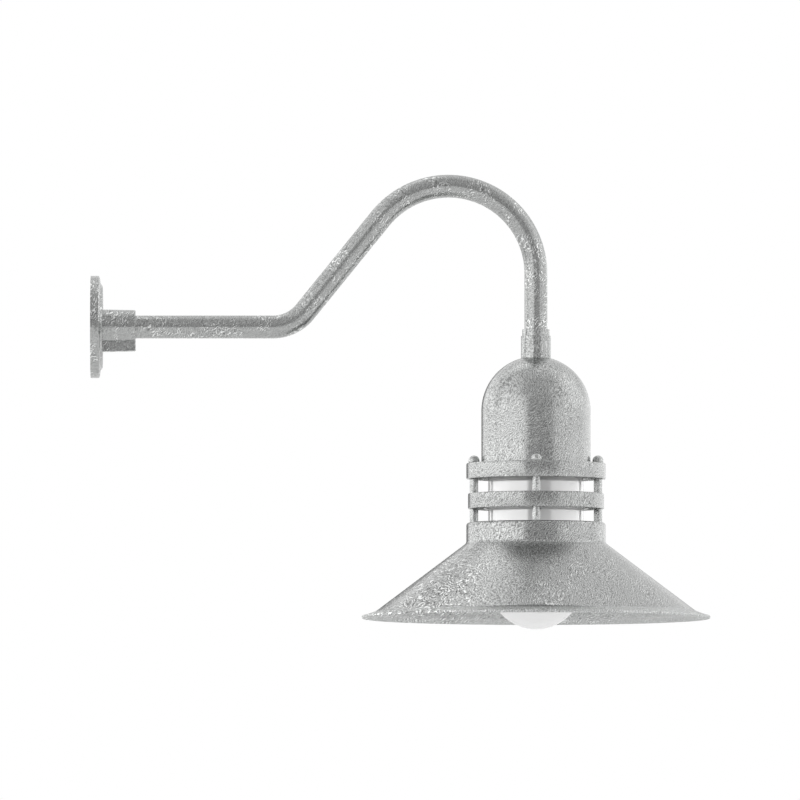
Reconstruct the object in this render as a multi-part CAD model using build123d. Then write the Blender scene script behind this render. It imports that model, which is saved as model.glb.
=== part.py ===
from build123d import *
import math
import os

# Gooseneck wall sconce. Millimetres, +Z up. The origin is the centre of the wall plate's
# back face, and +X points out of the wall, along the level run of the arm.

# ---------------------------------------------------------------- driving dimensions

# overall layout
ARM_REACH = 519.0  # wall face to the axis of the head
ARC_CENTRE_Z = 62.4  # height of the top arc's centre over the level run
ARC_RADIUS = 102.0  # top arc, to the pipe's centre line
BEND_RADIUS = 48.0  # bend between the level run and the slanted run
SLANT_ANGLE = 51.05  # slanted run over the level, in degrees

# fits and edges that many pieces share
TURN_CLEARANCE = 0.05  # radial, where the pipe turns in a bore
SEAT_GAP = 0.3  # where two pieces on different bodies lie close together
CAST_EDGE = 0.5  # rounding of an edge on a casting
CAST_CORNER = 1.0  # rounding of a corner that the mould needs
SCREW_HEAD_ROUNDING = 1.0
NUT_BEVEL_SHARE = 0.9  # of the height that would take the nut's corners off whole
OVERCUT = 1.0  # a cutting tool reaches this far past the metal

# pipe (nominal 3/4 in) used for the arm and for the nipple
PIPE_RADIUS = 13.335
PIPE_WALL = 2.87

# wall plate, turned about X: how far each ring stands in from the edge, and out of the wall
PLATE_RADIUS = 59.5
PLATE_EDGE_X = 9.5
PLATE_CHAMFER_INSET = 2.2
PLATE_CHAMFER_RISE = 1.2
PLATE_LEDGE_INSET = 8.5
PLATE_LEDGE_RISE = 0.7
PLATE_FACE_INSET = 12.1
PLATE_FACE_RISE = 2.5
PLATE_FACE_ROUNDING = 1.5
PLATE_WALL = 3.9  # metal behind the raised face
PLATE_RIM_WIDTH = 11.5  # back face, from the edge to the recess
PLATE_RECESS_ROUNDING = 3.0
HUB_LENGTH = 38.3  # out of the raised face
HUB_WALL = 6.365  # round the pipe, at the hub's end
HUB_DRAFT = 0.7  # the hub grows by this much from its end to its root
HUB_EDGE = 1.0
PAD_WIDTH = 19.0  # set-screw pad under the hub
PAD_DROP = 8.4  # below the hub's root
PAD_DRAFT = 0.9
BOX_SCREW_SPACING = 88.9
BOX_SCREW_RADIUS = 2.4
BOX_SCREW_HEAD_RADIUS = 4.9

# gasket in the plate's back face
WALL_GASKET_MARGIN = 3.5  # from the recess to the groove
WALL_GASKET_WIDTH = 4.5
WALL_GASKET_DEPTH = 2.0

# set screws
SET_SCREW_RADIUS = 3.0
SET_SCREW_LENGTH = 8.0
SET_SCREW_TIP = 0.8  # chamfer
SET_SCREW_HEX = 3.0  # across the flats of the socket
SET_SCREW_HEX_DEPTH = 3.0
HUB_SET_SCREWS_FROM_END = (26.2, 12.2)

# ground screw in the recess
GROUND_SCREW_Y = 24.0
GROUND_SCREW_Z = -18.0
GROUND_SCREW_RADIUS = 2.4
GROUND_HEAD_RADIUS = 4.8
GROUND_HEAD_HEIGHT = 2.6
GROUND_BITE = 3.0  # length in the plate
GROUND_SLOT_WIDTH = 1.2
GROUND_SLOT_DEPTH = 1.1

# inlet bushing and leads
ARM_INLET_X = 12.5
BUSHING_FLANGE = 1.6
BUSHING_FLANGE_MARGIN = 0.435  # inside the pipe's outline
BUSHING_SLEEVE = 10.0
BUSHING_WALL = 1.6
BUSHING_EDGE = 0.5
LEAD_RADIUS = 1.15
LEAD_PITCH = 2.5  # lead to lead, side by side
LEAD_START_X = 4.0

# collar
COLLAR_TOP_Z = -2.8
COLLAR_UPPER_HEIGHT = 7.7
COLLAR_UPPER_WALL = 2.565  # round the pipe
COLLAR_STEP = 1.5  # the lower part is this much wider all round
COLLAR_EDGE = 0.6
COLLAR_HEIGHT = 34.05
ARM_IN_COLLAR = 16.2
STOP_THICKNESS = 2.0  # ring inside the collar, between the arm's end and the nipple
COLLAR_SET_SCREW_OVER_STOP = 3.8
COLLAR_SET_SCREW_LENGTH = 3.6

# housing
HOUSING_WALL = 2.5
HOUSING_HOLDER_GAP = 5.95  # from the glass holder's neck out to the housing
DOME_FLAT_MARGIN = 0.6  # flat top of the dome, outside the collar
HOUSING_CYLINDER_HEIGHT = 61.2
FLANGE_THICKNESS = 3.0
SKIRT_HEIGHT = 18.3
SKIRT_WALL = 3.0
SKIRT_CORNER = 1.6
SKIRT_EDGE = 0.6

# nipple, washer and locknut under the dome
NIPPLE_BELOW_NUT = 3.0
NIPPLE_WASHER_MARGIN = 0.5  # from the washer's edge to the curve of the dome
NIPPLE_WASHER_THICKNESS = 1.6
LOCKNUT_FLATS = 34.0
LOCKNUT_THICKNESS = 6.0

# cage
POST_COUNT = 4
TIE_EDGE = 9.0  # from the tie rods to the cage's outside
TIE_ROD_RADIUS = 3.0
TIE_HOLE_CLEARANCE = 0.3
SPACER_RADIUS = 4.95
RING_DROP = 17.0  # below the skirt
RING_HEIGHT = 17.8
RING_INSET = 2.0  # from the cage's outside
RING_GLASS_GAP = 3.1  # from the jar to the ring
RING_OUTER_WALL = 3.0
RING_INNER_WALL = 2.6
RING_WEB = 3.0
RING_BOSS_WALL = 3.3
RING_EDGE = 1.2
BALL_NUT_RADIUS = 6.45
BALL_NUT_HEIGHT = 9.3
BALL_NUT_GAP = 2.1  # from the housing's wall to the ball nuts
BALL_NUT_BITE = 5.0  # length of rod inside the nut

# shade
SHADE_DROP = 16.2  # below the middle ring
SHADE_WALL = 2.0
SHADE_SHOULDER = 3.4
SHADE_GLASS_GAP = 4.0  # from the jar to the opening in the shade's top
SHADE_OPENING_EDGE = 0.4
SHADE_NECK_HEIGHT = 23.9
SHADE_NECK_BEND = 5.0
CONE_HEIGHT = 79.5
LIP_RADIUS = 203.2
LIP_WIDTH = 16.4
LIP_HEIGHT = 5.6
LIP_BEND = 20.0
ROLL_RADIUS = 1.9

# lower fixings, under the shade's top
LOWER_WASHER_RADIUS = 5.4
LOWER_WASHER_THICKNESS = 1.0
LOWER_NUT_FLATS = 10.0
LOWER_NUT_THICKNESS = 5.0
ROD_BELOW_NUT = 2.5

# glass holder, gasket and jar
HOLDER_PLATE = 4.0
HOLDER_MARGIN = 0.6  # inside the housing's skirt
HOLDER_NECK_WALL = 5.0
HOLDER_NECK_HEIGHT = 22.0
HOLDER_FILLET = 3.0
GLASS_GASKET_THICKNESS = 2.0
GLASS_RADIUS = 55.5
GLASS_WALL = 4.0
GLASS_BELOW_LIP = 15.2
GLASS_SHOULDER_WIDTH = 6.5  # from the wall in to the neck
GLASS_SHOULDER = 5.0  # rounding
GLASS_NECK_HEIGHT = 19.0
GLASS_RIM_ROUNDING = 1.2
GLASS_THREAD_RADIUS = 0.8
GLASS_THREAD_CLEARANCE = 0.4
GLASS_THREAD_PITCH = 6.35
GLASS_THREAD_TURNS = 2
GLASS_THREAD_START = 0.75  # of a pitch, below the mouth

# socket
BRACKET_WALL = 1.6
BRACKET_WIDTH = 30.0
BRACKET_MARGIN = 2.0  # outside the socket's collar
BRACKET_INNER_HEIGHT = 55.45
BRACKET_BEND = 4.0
SOCKET_RADIUS = 23.0
SOCKET_COLLAR_WIDTH = 4.0
SOCKET_COLLAR_HEIGHT = 8.0
SOCKET_HEIGHT = 46.0
SOCKET_EDGE = 1.5
SOCKET_LEAD_WELL_RADIUS = 5.5
SOCKET_LEAD_WELL_DEPTH = 6.0
SOCKET_SCREW_OFFSET = 19.0
SOCKET_SCREW_RADIUS = 2.0
SOCKET_SCREW_HEAD_RADIUS = 3.8
SOCKET_SCREW_HEAD = 2.2
SOCKET_SCREW_BITE = 6.0
SHELL_WALL = 0.5
SHELL_HEIGHT = 26.0
SHELL_MOUTH_MARGIN = 1.2  # porcelain below the shell's edge
CONTACT_RADIUS = 5.0
CONTACT_THICKNESS = 1.0

# bulb (medium screw base)
BULB_BASE_RADIUS = 13.1
BULB_SHELL_CLEARANCE = 0.3
BULB_BASE_HEIGHT = 22.0
BULB_BASE_TAPER = 1.0
BULB_THREAD_DEPTH = 0.7
BULB_THREAD_PITCH = 3.63
BULB_THREAD_START = 1.5
BULB_THREADS = 5
BULB_TIP_RADIUS = 4.6
BULB_TIP_HEIGHT = 1.4
BULB_INSULATOR_RADIUS = 8.0
BULB_INSULATOR_HEIGHT = 4.0
BULB_NECK_FLARE = 0.8  # wider than the base
BULB_NECK_HEIGHT = 6.0
BULB_RADIUS = 30.0
BULB_SHOULDER_ANGLE = 35.0
BULB_LENGTH = 108.0
BULB_GLASS_WALL = 1.2

# ---------------------------------------------------------------- derived places

PIPE_BORE_RADIUS = PIPE_RADIUS - PIPE_WALL
RUN_BORE_RADIUS = PIPE_RADIUS + TURN_CLEARANCE
SET_SCREW_TIP_RADIUS = RUN_BORE_RADIUS + TURN_CLEARANCE  # from the pipe's axis to the tips

# plate
PLATE_CHAMFER_X = PLATE_EDGE_X + PLATE_CHAMFER_RISE
PLATE_LEDGE_X = PLATE_CHAMFER_X + PLATE_LEDGE_RISE
PLATE_FACE_X = PLATE_LEDGE_X + PLATE_FACE_RISE
RECESS_X = PLATE_FACE_X - PLATE_WALL
RECESS_RADIUS = PLATE_RADIUS - PLATE_RIM_WIDTH
HUB_END_X = PLATE_FACE_X + HUB_LENGTH
HUB_END_RADIUS = PIPE_RADIUS + HUB_WALL
HUB_ROOT_RADIUS = HUB_END_RADIUS + HUB_DRAFT
PAD_ROOT_Z = -(HUB_ROOT_RADIUS + PAD_DROP)
WALL_GASKET_INNER = RECESS_RADIUS + WALL_GASKET_MARGIN

# jar and cage, from the glass outwards
GLASS_NECK_RADIUS = GLASS_RADIUS - GLASS_SHOULDER_WIDTH
HOLDER_BORE_RADIUS = GLASS_NECK_RADIUS + GLASS_THREAD_RADIUS + GLASS_THREAD_CLEARANCE
HOLDER_NECK_RADIUS = HOLDER_BORE_RADIUS + HOLDER_NECK_WALL
HOUSING_BORE_RADIUS = HOLDER_NECK_RADIUS + HOUSING_HOLDER_GAP
HOUSING_RADIUS = HOUSING_BORE_RADIUS + HOUSING_WALL
TIE_CIRCLE_RADIUS = HOUSING_RADIUS + BALL_NUT_GAP + BALL_NUT_RADIUS
TIE_HOLE_RADIUS = TIE_ROD_RADIUS + TIE_HOLE_CLEARANCE
CAGE_RADIUS = TIE_CIRCLE_RADIUS + TIE_EDGE  # the housing's skirt and the shade's neck
HOLDER_RADIUS = CAGE_RADIUS - SKIRT_WALL - HOLDER_MARGIN
GLASS_GASKET_RADIUS = GLASS_RADIUS + SEAT_GAP
RING_RADIUS = CAGE_RADIUS - RING_INSET
RING_INNER_RADIUS = GLASS_RADIUS + RING_GLASS_GAP
RING_BOSS_RADIUS = TIE_HOLE_RADIUS + RING_BOSS_WALL
SHADE_OPENING_RADIUS = GLASS_RADIUS + SHADE_GLASS_GAP
CONE_END_RADIUS = LIP_RADIUS - LIP_WIDTH

# collar and dome, downwards
COLLAR_STEP_Z = COLLAR_TOP_Z - COLLAR_UPPER_HEIGHT
COLLAR_UPPER_RADIUS = PIPE_RADIUS + COLLAR_UPPER_WALL
COLLAR_LOWER_RADIUS = COLLAR_UPPER_RADIUS + COLLAR_STEP
ARM_END_Z = COLLAR_TOP_Z - ARM_IN_COLLAR
NIPPLE_TOP_Z = ARM_END_Z - STOP_THICKNESS
DOME_FLAT_RADIUS = COLLAR_LOWER_RADIUS + DOME_FLAT_MARGIN
DOME_TOP_Z = COLLAR_TOP_Z - COLLAR_HEIGHT
DOME_CENTRE_Z = DOME_TOP_Z - math.sqrt(HOUSING_RADIUS**2 - DOME_FLAT_RADIUS**2)
WASHER_TOP_Z = DOME_TOP_Z - HOUSING_WALL
INNER_FLAT_RADIUS = math.sqrt(HOUSING_BORE_RADIUS**2 - (WASHER_TOP_Z - DOME_CENTRE_Z) ** 2)
LOCKNUT_TOP_Z = WASHER_TOP_Z - NIPPLE_WASHER_THICKNESS
BRACKET_TOP_Z = LOCKNUT_TOP_Z - LOCKNUT_THICKNESS
NIPPLE_END_Z = BRACKET_TOP_Z - BRACKET_WALL - NIPPLE_BELOW_NUT

# cage, from the flange down
FLANGE_Z = DOME_CENTRE_Z - HOUSING_CYLINDER_HEIGHT
SKIRT_BOTTOM_Z = FLANGE_Z - SKIRT_HEIGHT
RING_TOP_Z = SKIRT_BOTTOM_Z - RING_DROP
RING_BOTTOM_Z = RING_TOP_Z - RING_HEIGHT
SHADE_TOP_Z = RING_BOTTOM_Z - SHADE_DROP
SHADE_NECK_BOTTOM_Z = SHADE_TOP_Z - SHADE_NECK_HEIGHT
CONE_END_Z = SHADE_NECK_BOTTOM_Z - CONE_HEIGHT
LIP_Z = CONE_END_Z - LIP_HEIGHT
LOWER_WASHER_Z = SHADE_TOP_Z - SHADE_WALL
LOWER_NUT_Z = LOWER_WASHER_Z - LOWER_WASHER_THICKNESS
ROD_TOP_Z = FLANGE_Z + BALL_NUT_BITE
ROD_BOTTOM_Z = LOWER_NUT_Z - LOWER_NUT_THICKNESS - ROD_BELOW_NUT

# glass holder and jar, downwards
HOLDER_TOP_Z = FLANGE_Z - FLANGE_THICKNESS
HOLDER_BOTTOM_Z = HOLDER_TOP_Z - HOLDER_PLATE
GLASS_SHOULDER_Z = HOLDER_BOTTOM_Z - GLASS_GASKET_THICKNESS - SEAT_GAP
GLASS_MOUTH_Z = GLASS_SHOULDER_Z + GLASS_NECK_HEIGHT
GLASS_BOTTOM_Z = LIP_Z - GLASS_BELOW_LIP
GLASS_BALL_Z = GLASS_BOTTOM_Z + GLASS_RADIUS

# socket and bulb
BRACKET_BOTTOM_Z = BRACKET_TOP_Z - BRACKET_WALL - BRACKET_INNER_HEIGHT
SOCKET_TOP_Z = BRACKET_BOTTOM_Z - BRACKET_WALL
SOCKET_MOUTH_Z = SOCKET_TOP_Z - SOCKET_HEIGHT
SOCKET_COLLAR_RADIUS = SOCKET_RADIUS + SOCKET_COLLAR_WIDTH
BRACKET_HALF_SPAN = SOCKET_COLLAR_RADIUS + BRACKET_MARGIN
SHELL_RADIUS = BULB_BASE_RADIUS + BULB_SHELL_CLEARANCE
SHELL_TOP_Z = SOCKET_MOUTH_Z + SHELL_HEIGHT
CONTACT_BOTTOM_Z = SHELL_TOP_Z - CONTACT_THICKNESS
BULB_TIP_Z = CONTACT_BOTTOM_Z - SEAT_GAP
BULB_INSULATOR_Z = BULB_TIP_Z - BULB_TIP_HEIGHT
BULB_BASE_Z = BULB_INSULATOR_Z - BULB_INSULATOR_HEIGHT
BULB_GLASS_Z = BULB_BASE_Z - BULB_BASE_HEIGHT
BULB_NECK_RADIUS = BULB_BASE_RADIUS + BULB_NECK_FLARE
BULB_BALL_Z = BULB_TIP_Z - BULB_LENGTH + BULB_RADIUS

HEAD = Pos(ARM_REACH, 0, 0)
OUT_OF_WALL = Rot(0, 90, 0)  # turns +Z to +X
FROM_BOTTOM = (Align.CENTER, Align.CENTER, Align.MIN)

# ---------------------------------------------------------------- helpers


def outline(points, radii=None):
    """Closed outline in the XZ plane from (x, z) points, with a rounding radius for each point."""
    corners = [(x, 0, z) for x, z in points]
    if radii is None:
        return make_face(Polyline(*corners, close=True))
    return make_face(FilletPolyline(*corners, radius=radii, close=True))


def turned(points, radii=None):
    """Body of revolution about Z from (radius, z) points."""
    return revolve(outline(points, radii), Axis.Z)


def turned_on_x(points, radii=None):
    """Body of revolution about X from (x, radius) points."""
    return revolve(outline(points, radii), Axis.X)


def tube(outer, inner, top, bottom):
    """Plain ring about Z between two heights."""
    return turned([(inner, bottom), (outer, bottom), (outer, top), (inner, top)])


def rod(radius, top, bottom):
    """Plain round bar on Z between two heights."""
    return Pos(0, 0, bottom) * Cylinder(radius, top - bottom, align=FROM_BOTTOM)


def hex_bar(flats, top, bottom):
    """Hexagonal bar on Z between two heights, with flats across Y."""
    face = RegularPolygon(flats / 2, 6, major_radius=False)
    return Pos(0, 0, bottom) * extrude(face, top - bottom)


def hex_nut(flats, bore, top, bottom):
    """Hexagonal nut with its corners rounded off at both ends."""
    nut = hex_bar(flats, top, bottom)
    bevel = (flats / math.sqrt(3) - flats / 2) * NUT_BEVEL_SHARE
    corner = flats / math.sqrt(3) + OVERCUT
    low = flats / 2
    rounded = turned(
        [(0, bottom), (low, bottom), (corner, bottom + bevel)]
        + [(corner, top - bevel), (low, top), (0, top)]
    )
    return nut & rounded - rod(bore, top + OVERCUT, bottom - OVERCUT)


def at_posts(shape):
    """Copies of a shape at each post of the cage, about the head's own axis."""
    step = 360 / POST_COUNT
    return [Rot(0, 0, k * step) * Pos(TIE_CIRCLE_RADIUS, 0, 0) * shape for k in range(POST_COUNT)]


def around_head(shape):
    """Copies of a shape at each post of the cage, in place on the head."""
    return [HEAD * copy for copy in at_posts(shape)]


def tie_holes(radius, top, bottom):
    """Cutting bars for the tie rods, about the head's own axis."""
    return at_posts(rod(radius, top + OVERCUT, bottom - OVERCUT))


def set_screw(length):
    """Socket set screw on Z, with its tip at the origin and its socket at +Z."""
    body = turned(
        [(0, 0), (SET_SCREW_RADIUS - SET_SCREW_TIP, 0), (SET_SCREW_RADIUS, SET_SCREW_TIP)]
        + [(SET_SCREW_RADIUS, length), (0, length)]
    )
    depth = min(SET_SCREW_HEX_DEPTH, length / 2)
    return body - hex_bar(SET_SCREW_HEX, length + OVERCUT, length - depth)


# ---------------------------------------------------------------- wall plate


def wall_plate():
    """Cast plate with its hub and the pad for the set screws."""
    disc = turned_on_x(
        [
            (0, RECESS_RADIUS),
            (0, PLATE_RADIUS),
            (PLATE_EDGE_X, PLATE_RADIUS),
            (PLATE_CHAMFER_X, PLATE_RADIUS - PLATE_CHAMFER_INSET),
            (PLATE_LEDGE_X, PLATE_RADIUS - PLATE_LEDGE_INSET),
            (PLATE_FACE_X, PLATE_RADIUS - PLATE_FACE_INSET),
            (PLATE_FACE_X, HUB_ROOT_RADIUS / 2),
            (RECESS_X, HUB_ROOT_RADIUS / 2),
            (RECESS_X, RECESS_RADIUS),
        ],
        [
            0,
            0,
            CAST_EDGE,
            CAST_CORNER,
            PLATE_FACE_ROUNDING,
            PLATE_FACE_ROUNDING,
            0,
            0,
            PLATE_RECESS_ROUNDING,
        ],
    )
    hub = turned_on_x(
        [(RECESS_X, 0), (RECESS_X, HUB_ROOT_RADIUS), (PLATE_FACE_X, HUB_ROOT_RADIUS)]
        + [(HUB_END_X, HUB_END_RADIUS), (HUB_END_X, 0)],
        [0, 0, 0, HUB_EDGE, 0],
    )
    pad_side = outline(
        [(RECESS_X, 0), (HUB_END_X, 0), (HUB_END_X, PAD_ROOT_Z + PAD_DRAFT)]
        + [(PLATE_FACE_X, PAD_ROOT_Z), (RECESS_X, PAD_ROOT_Z)],
        [0, 0, HUB_EDGE, 0, 0],
    )
    pad = extrude(pad_side, PAD_WIDTH / 2, both=True)
    plate = disc + hub + pad
    bore = OUT_OF_WALL * rod(RUN_BORE_RADIUS, HUB_END_X + OVERCUT, -OVERCUT)
    plate = plate - bore
    plate = plate - OUT_OF_WALL * tube(
        WALL_GASKET_INNER + WALL_GASKET_WIDTH, WALL_GASKET_INNER, WALL_GASKET_DEPTH, -OVERCUT
    )
    for side in (-1, 1):
        hole = rod(BOX_SCREW_RADIUS, PLATE_FACE_X + OVERCUT, -OVERCUT)
        sink_depth = BOX_SCREW_HEAD_RADIUS - BOX_SCREW_RADIUS
        sink = turned(
            [(0, PLATE_FACE_X - sink_depth), (BOX_SCREW_RADIUS, PLATE_FACE_X - sink_depth)]
            + [(BOX_SCREW_HEAD_RADIUS, PLATE_FACE_X), (BOX_SCREW_HEAD_RADIUS, PLATE_FACE_X + OVERCUT)]
            + [(0, PLATE_FACE_X + OVERCUT)]
        )
        plate = plate - Pos(0, side * BOX_SCREW_SPACING / 2, 0) * OUT_OF_WALL * (hole + sink)
    for from_end in HUB_SET_SCREWS_FROM_END:
        plate = plate - Pos(HUB_END_X - from_end, 0, 0) * rod(SET_SCREW_RADIUS, 0, PAD_ROOT_Z - OVERCUT)
    ground = rod(GROUND_SCREW_RADIUS, RECESS_X + GROUND_BITE, RECESS_X - OVERCUT)
    return plate - Pos(0, GROUND_SCREW_Y, GROUND_SCREW_Z) * OUT_OF_WALL * ground


def wall_gasket():
    """Rubber ring in the groove of the plate's back face."""
    outer = WALL_GASKET_INNER + WALL_GASKET_WIDTH
    return OUT_OF_WALL * tube(outer, WALL_GASKET_INNER, WALL_GASKET_DEPTH, 0)


def hub_set_screws():
    """Two set screws in the pad, tips up against the arm."""
    upward = Pos(HUB_END_X, 0, -SET_SCREW_TIP_RADIUS) * Rot(180, 0, 0) * set_screw(SET_SCREW_LENGTH)
    return [Pos(-from_end, 0, 0) * upward for from_end in HUB_SET_SCREWS_FROM_END]


def ground_screw():
    """Slotted pan-head screw in the recess, its head towards the wall."""
    head_x = RECESS_X - GROUND_HEAD_HEIGHT
    shank = rod(GROUND_SCREW_RADIUS, RECESS_X + GROUND_BITE, RECESS_X - OVERCUT)
    head = turned(
        [(0, head_x), (GROUND_HEAD_RADIUS, head_x), (GROUND_HEAD_RADIUS, RECESS_X), (0, RECESS_X)],
        [0, SCREW_HEAD_ROUNDING, 0, 0],
    )
    slot_length = 2 * (GROUND_HEAD_RADIUS + OVERCUT)
    slot = Pos(0, 0, head_x) * Box(GROUND_SLOT_WIDTH, slot_length, 2 * GROUND_SLOT_DEPTH)
    return Pos(0, GROUND_SCREW_Y, GROUND_SCREW_Z) * OUT_OF_WALL * (shank + head - slot)


# ---------------------------------------------------------------- arm and leads


def gooseneck_path(start_x, end_z, side=0.0):
    """Centre line of the arm: level run, bend, slanted run, top arc and drop."""
    slant = math.radians(SLANT_ANGLE)
    arc_x = ARM_REACH - ARC_RADIUS
    top_x = arc_x - ARC_RADIUS * math.sin(slant)
    top_z = ARC_CENTRE_Z + ARC_RADIUS * math.cos(slant)
    foot_x = top_x - top_z / math.tan(slant)
    reach = BEND_RADIUS * math.tan(slant / 2)
    bend_start = (foot_x - reach, side, 0)
    bend_end = (foot_x + reach * math.cos(slant), side, reach * math.sin(slant))
    half = math.pi / 4 - slant / 2
    crown = (arc_x + ARC_RADIUS * math.sin(half), side, ARC_CENTRE_Z + ARC_RADIUS * math.cos(half))
    half_bend = slant / 2
    bend_mid = (
        bend_start[0] + BEND_RADIUS * math.sin(half_bend),
        side,
        BEND_RADIUS * (1 - math.cos(half_bend)),
    )
    level = Line((start_x, side, 0), bend_start)
    bend = ThreePointArc(bend_start, bend_mid, bend_end)
    slanted = Line(bend_end, (top_x, side, top_z))
    arc = ThreePointArc((top_x, side, top_z), crown, (ARM_REACH, side, ARC_CENTRE_Z))
    drop = Line((ARM_REACH, side, ARC_CENTRE_Z), (ARM_REACH, side, end_z))
    return Wire([level.edge(), bend.edge(), slanted.edge(), arc.edge(), drop.edge()])


def along_arm(radius, start_x, end_z, side=0.0):
    """Round bar that follows the arm."""
    section = Plane((start_x, side, 0), z_dir=(1, 0, 0)) * Circle(radius)
    return sweep(section, path=gooseneck_path(start_x, end_z, side))


def gooseneck_arm():
    """Bent pipe from the hub to the collar."""
    section = Plane((ARM_INLET_X, 0, 0), z_dir=(1, 0, 0)) * (Circle(PIPE_RADIUS) - Circle(PIPE_BORE_RADIUS))
    return sweep(section, path=gooseneck_path(ARM_INLET_X, ARM_END_Z))


def arm_bushing():
    """Insulating bushing in the arm's inlet, which keeps the leads off the pipe's edge."""
    sleeve = PIPE_BORE_RADIUS
    hole = sleeve - BUSHING_WALL
    flange = PIPE_RADIUS - BUSHING_FLANGE_MARGIN
    return turned_on_x(
        [
            (ARM_INLET_X - BUSHING_FLANGE, hole),
            (ARM_INLET_X - BUSHING_FLANGE, flange),
            (ARM_INLET_X, flange),
            (ARM_INLET_X, sleeve),
            (ARM_INLET_X + BUSHING_SLEEVE, sleeve),
            (ARM_INLET_X + BUSHING_SLEEVE, hole),
        ],
        [BUSHING_EDGE, BUSHING_EDGE, 0, 0, 0, BUSHING_EDGE],
    )


def lead(side):
    """One lead, from the recess behind the plate to the well in the socket's top."""
    end_z = SOCKET_TOP_Z - SOCKET_LEAD_WELL_DEPTH + SEAT_GAP
    return along_arm(LEAD_RADIUS, LEAD_START_X, end_z, side * LEAD_PITCH)


# ---------------------------------------------------------------- head


def at_collar_screw(shape):
    """A shape on Z, turned to point out of the back of the collar at its set screw."""
    return Pos(0, 0, ARM_END_Z + COLLAR_SET_SCREW_OVER_STOP) * Rot(-90, 0, 0) * shape


def collar():
    """Stepped coupling that the arm's end turns in and the nipple is screwed into."""
    body = turned(
        [
            (PIPE_BORE_RADIUS, DOME_TOP_Z),
            (COLLAR_LOWER_RADIUS, DOME_TOP_Z),
            (COLLAR_LOWER_RADIUS, COLLAR_STEP_Z),
            (COLLAR_UPPER_RADIUS, COLLAR_STEP_Z),
            (COLLAR_UPPER_RADIUS, COLLAR_TOP_Z),
            (PIPE_BORE_RADIUS, COLLAR_TOP_Z),
        ],
        [0, COLLAR_EDGE, COLLAR_EDGE, 0, COLLAR_EDGE, 0],
    )
    body = body - rod(RUN_BORE_RADIUS, COLLAR_TOP_Z + OVERCUT, ARM_END_Z - SEAT_GAP)
    body = body - rod(PIPE_RADIUS, NIPPLE_TOP_Z, DOME_TOP_Z - OVERCUT)
    return HEAD * (body - at_collar_screw(rod(SET_SCREW_RADIUS, COLLAR_LOWER_RADIUS + OVERCUT, 0)))


def collar_set_screw():
    """Set screw in the back of the collar, its tip against the arm."""
    screw = Pos(0, 0, SET_SCREW_TIP_RADIUS) * set_screw(COLLAR_SET_SCREW_LENGTH)
    return HEAD * at_collar_screw(screw)


def nipple():
    """Hollow threaded nipple between the collar and the bracket."""
    return HEAD * tube(PIPE_RADIUS, PIPE_BORE_RADIUS, NIPPLE_TOP_Z, NIPPLE_END_Z)


def nipple_washer():
    """Washer under the dome's flat top."""
    radius = INNER_FLAT_RADIUS - NIPPLE_WASHER_MARGIN
    return HEAD * tube(radius, PIPE_RADIUS, WASHER_TOP_Z, LOCKNUT_TOP_Z)


def nipple_locknut():
    """Locknut that clamps the housing to the collar."""
    return HEAD * hex_nut(LOCKNUT_FLATS, PIPE_RADIUS, LOCKNUT_TOP_Z, BRACKET_TOP_Z)


def quarter_arc(radius, flat_radius):
    """Arc of the dome's section, from its flat top down to its widest place."""
    lean = (math.asin(flat_radius / radius) + math.pi / 2) / 2
    top = (flat_radius, 0, DOME_CENTRE_Z + math.sqrt(radius**2 - flat_radius**2))
    middle = (radius * math.sin(lean), 0, DOME_CENTRE_Z + radius * math.cos(lean))
    return ThreePointArc(top, middle, (radius, 0, DOME_CENTRE_Z))


def housing():
    """Spun dome, cylinder, flange and skirt, one shell."""
    skirt_inner = CAGE_RADIUS - SKIRT_WALL
    walls = FilletPolyline(
        (HOUSING_RADIUS, 0, DOME_CENTRE_Z),
        (HOUSING_RADIUS, 0, FLANGE_Z),
        (CAGE_RADIUS, 0, FLANGE_Z),
        (CAGE_RADIUS, 0, SKIRT_BOTTOM_Z),
        (skirt_inner, 0, SKIRT_BOTTOM_Z),
        (skirt_inner, 0, HOLDER_TOP_Z),
        (HOUSING_BORE_RADIUS, 0, HOLDER_TOP_Z),
        (HOUSING_BORE_RADIUS, 0, DOME_CENTRE_Z),
        radius=[SKIRT_CORNER, SKIRT_CORNER, SKIRT_EDGE, SKIRT_EDGE, 0, 0],
    )
    flat_top = Polyline(
        (INNER_FLAT_RADIUS, 0, WASHER_TOP_Z),
        (PIPE_RADIUS, 0, WASHER_TOP_Z),
        (PIPE_RADIUS, 0, DOME_TOP_Z),
        (DOME_FLAT_RADIUS, 0, DOME_TOP_Z),
    )
    outer_dome = quarter_arc(HOUSING_RADIUS, DOME_FLAT_RADIUS)
    inner_dome = quarter_arc(HOUSING_BORE_RADIUS, INNER_FLAT_RADIUS)
    shell = revolve(make_face(Curve() + [outer_dome, walls, inner_dome, flat_top]), Axis.Z)
    for hole in tie_holes(TIE_HOLE_RADIUS, FLANGE_Z, HOLDER_TOP_Z):
        shell = shell - hole
    return HEAD * shell


def glass_holder():
    """Cast plate under the flange, with the threaded neck that the jar screws into."""
    neck_top = HOLDER_TOP_Z + HOLDER_NECK_HEIGHT
    body = turned(
        [
            (HOLDER_BORE_RADIUS, HOLDER_BOTTOM_Z),
            (HOLDER_RADIUS, HOLDER_BOTTOM_Z),
            (HOLDER_RADIUS, HOLDER_TOP_Z),
            (HOLDER_NECK_RADIUS, HOLDER_TOP_Z),
            (HOLDER_NECK_RADIUS, neck_top),
            (HOLDER_BORE_RADIUS, neck_top),
        ],
        [CAST_EDGE, CAST_EDGE, 0, HOLDER_FILLET, CAST_EDGE, CAST_EDGE],
    )
    for hole in tie_holes(TIE_HOLE_RADIUS, HOLDER_TOP_Z, HOLDER_BOTTOM_Z):
        body = body - hole
    return HEAD * body


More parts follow.
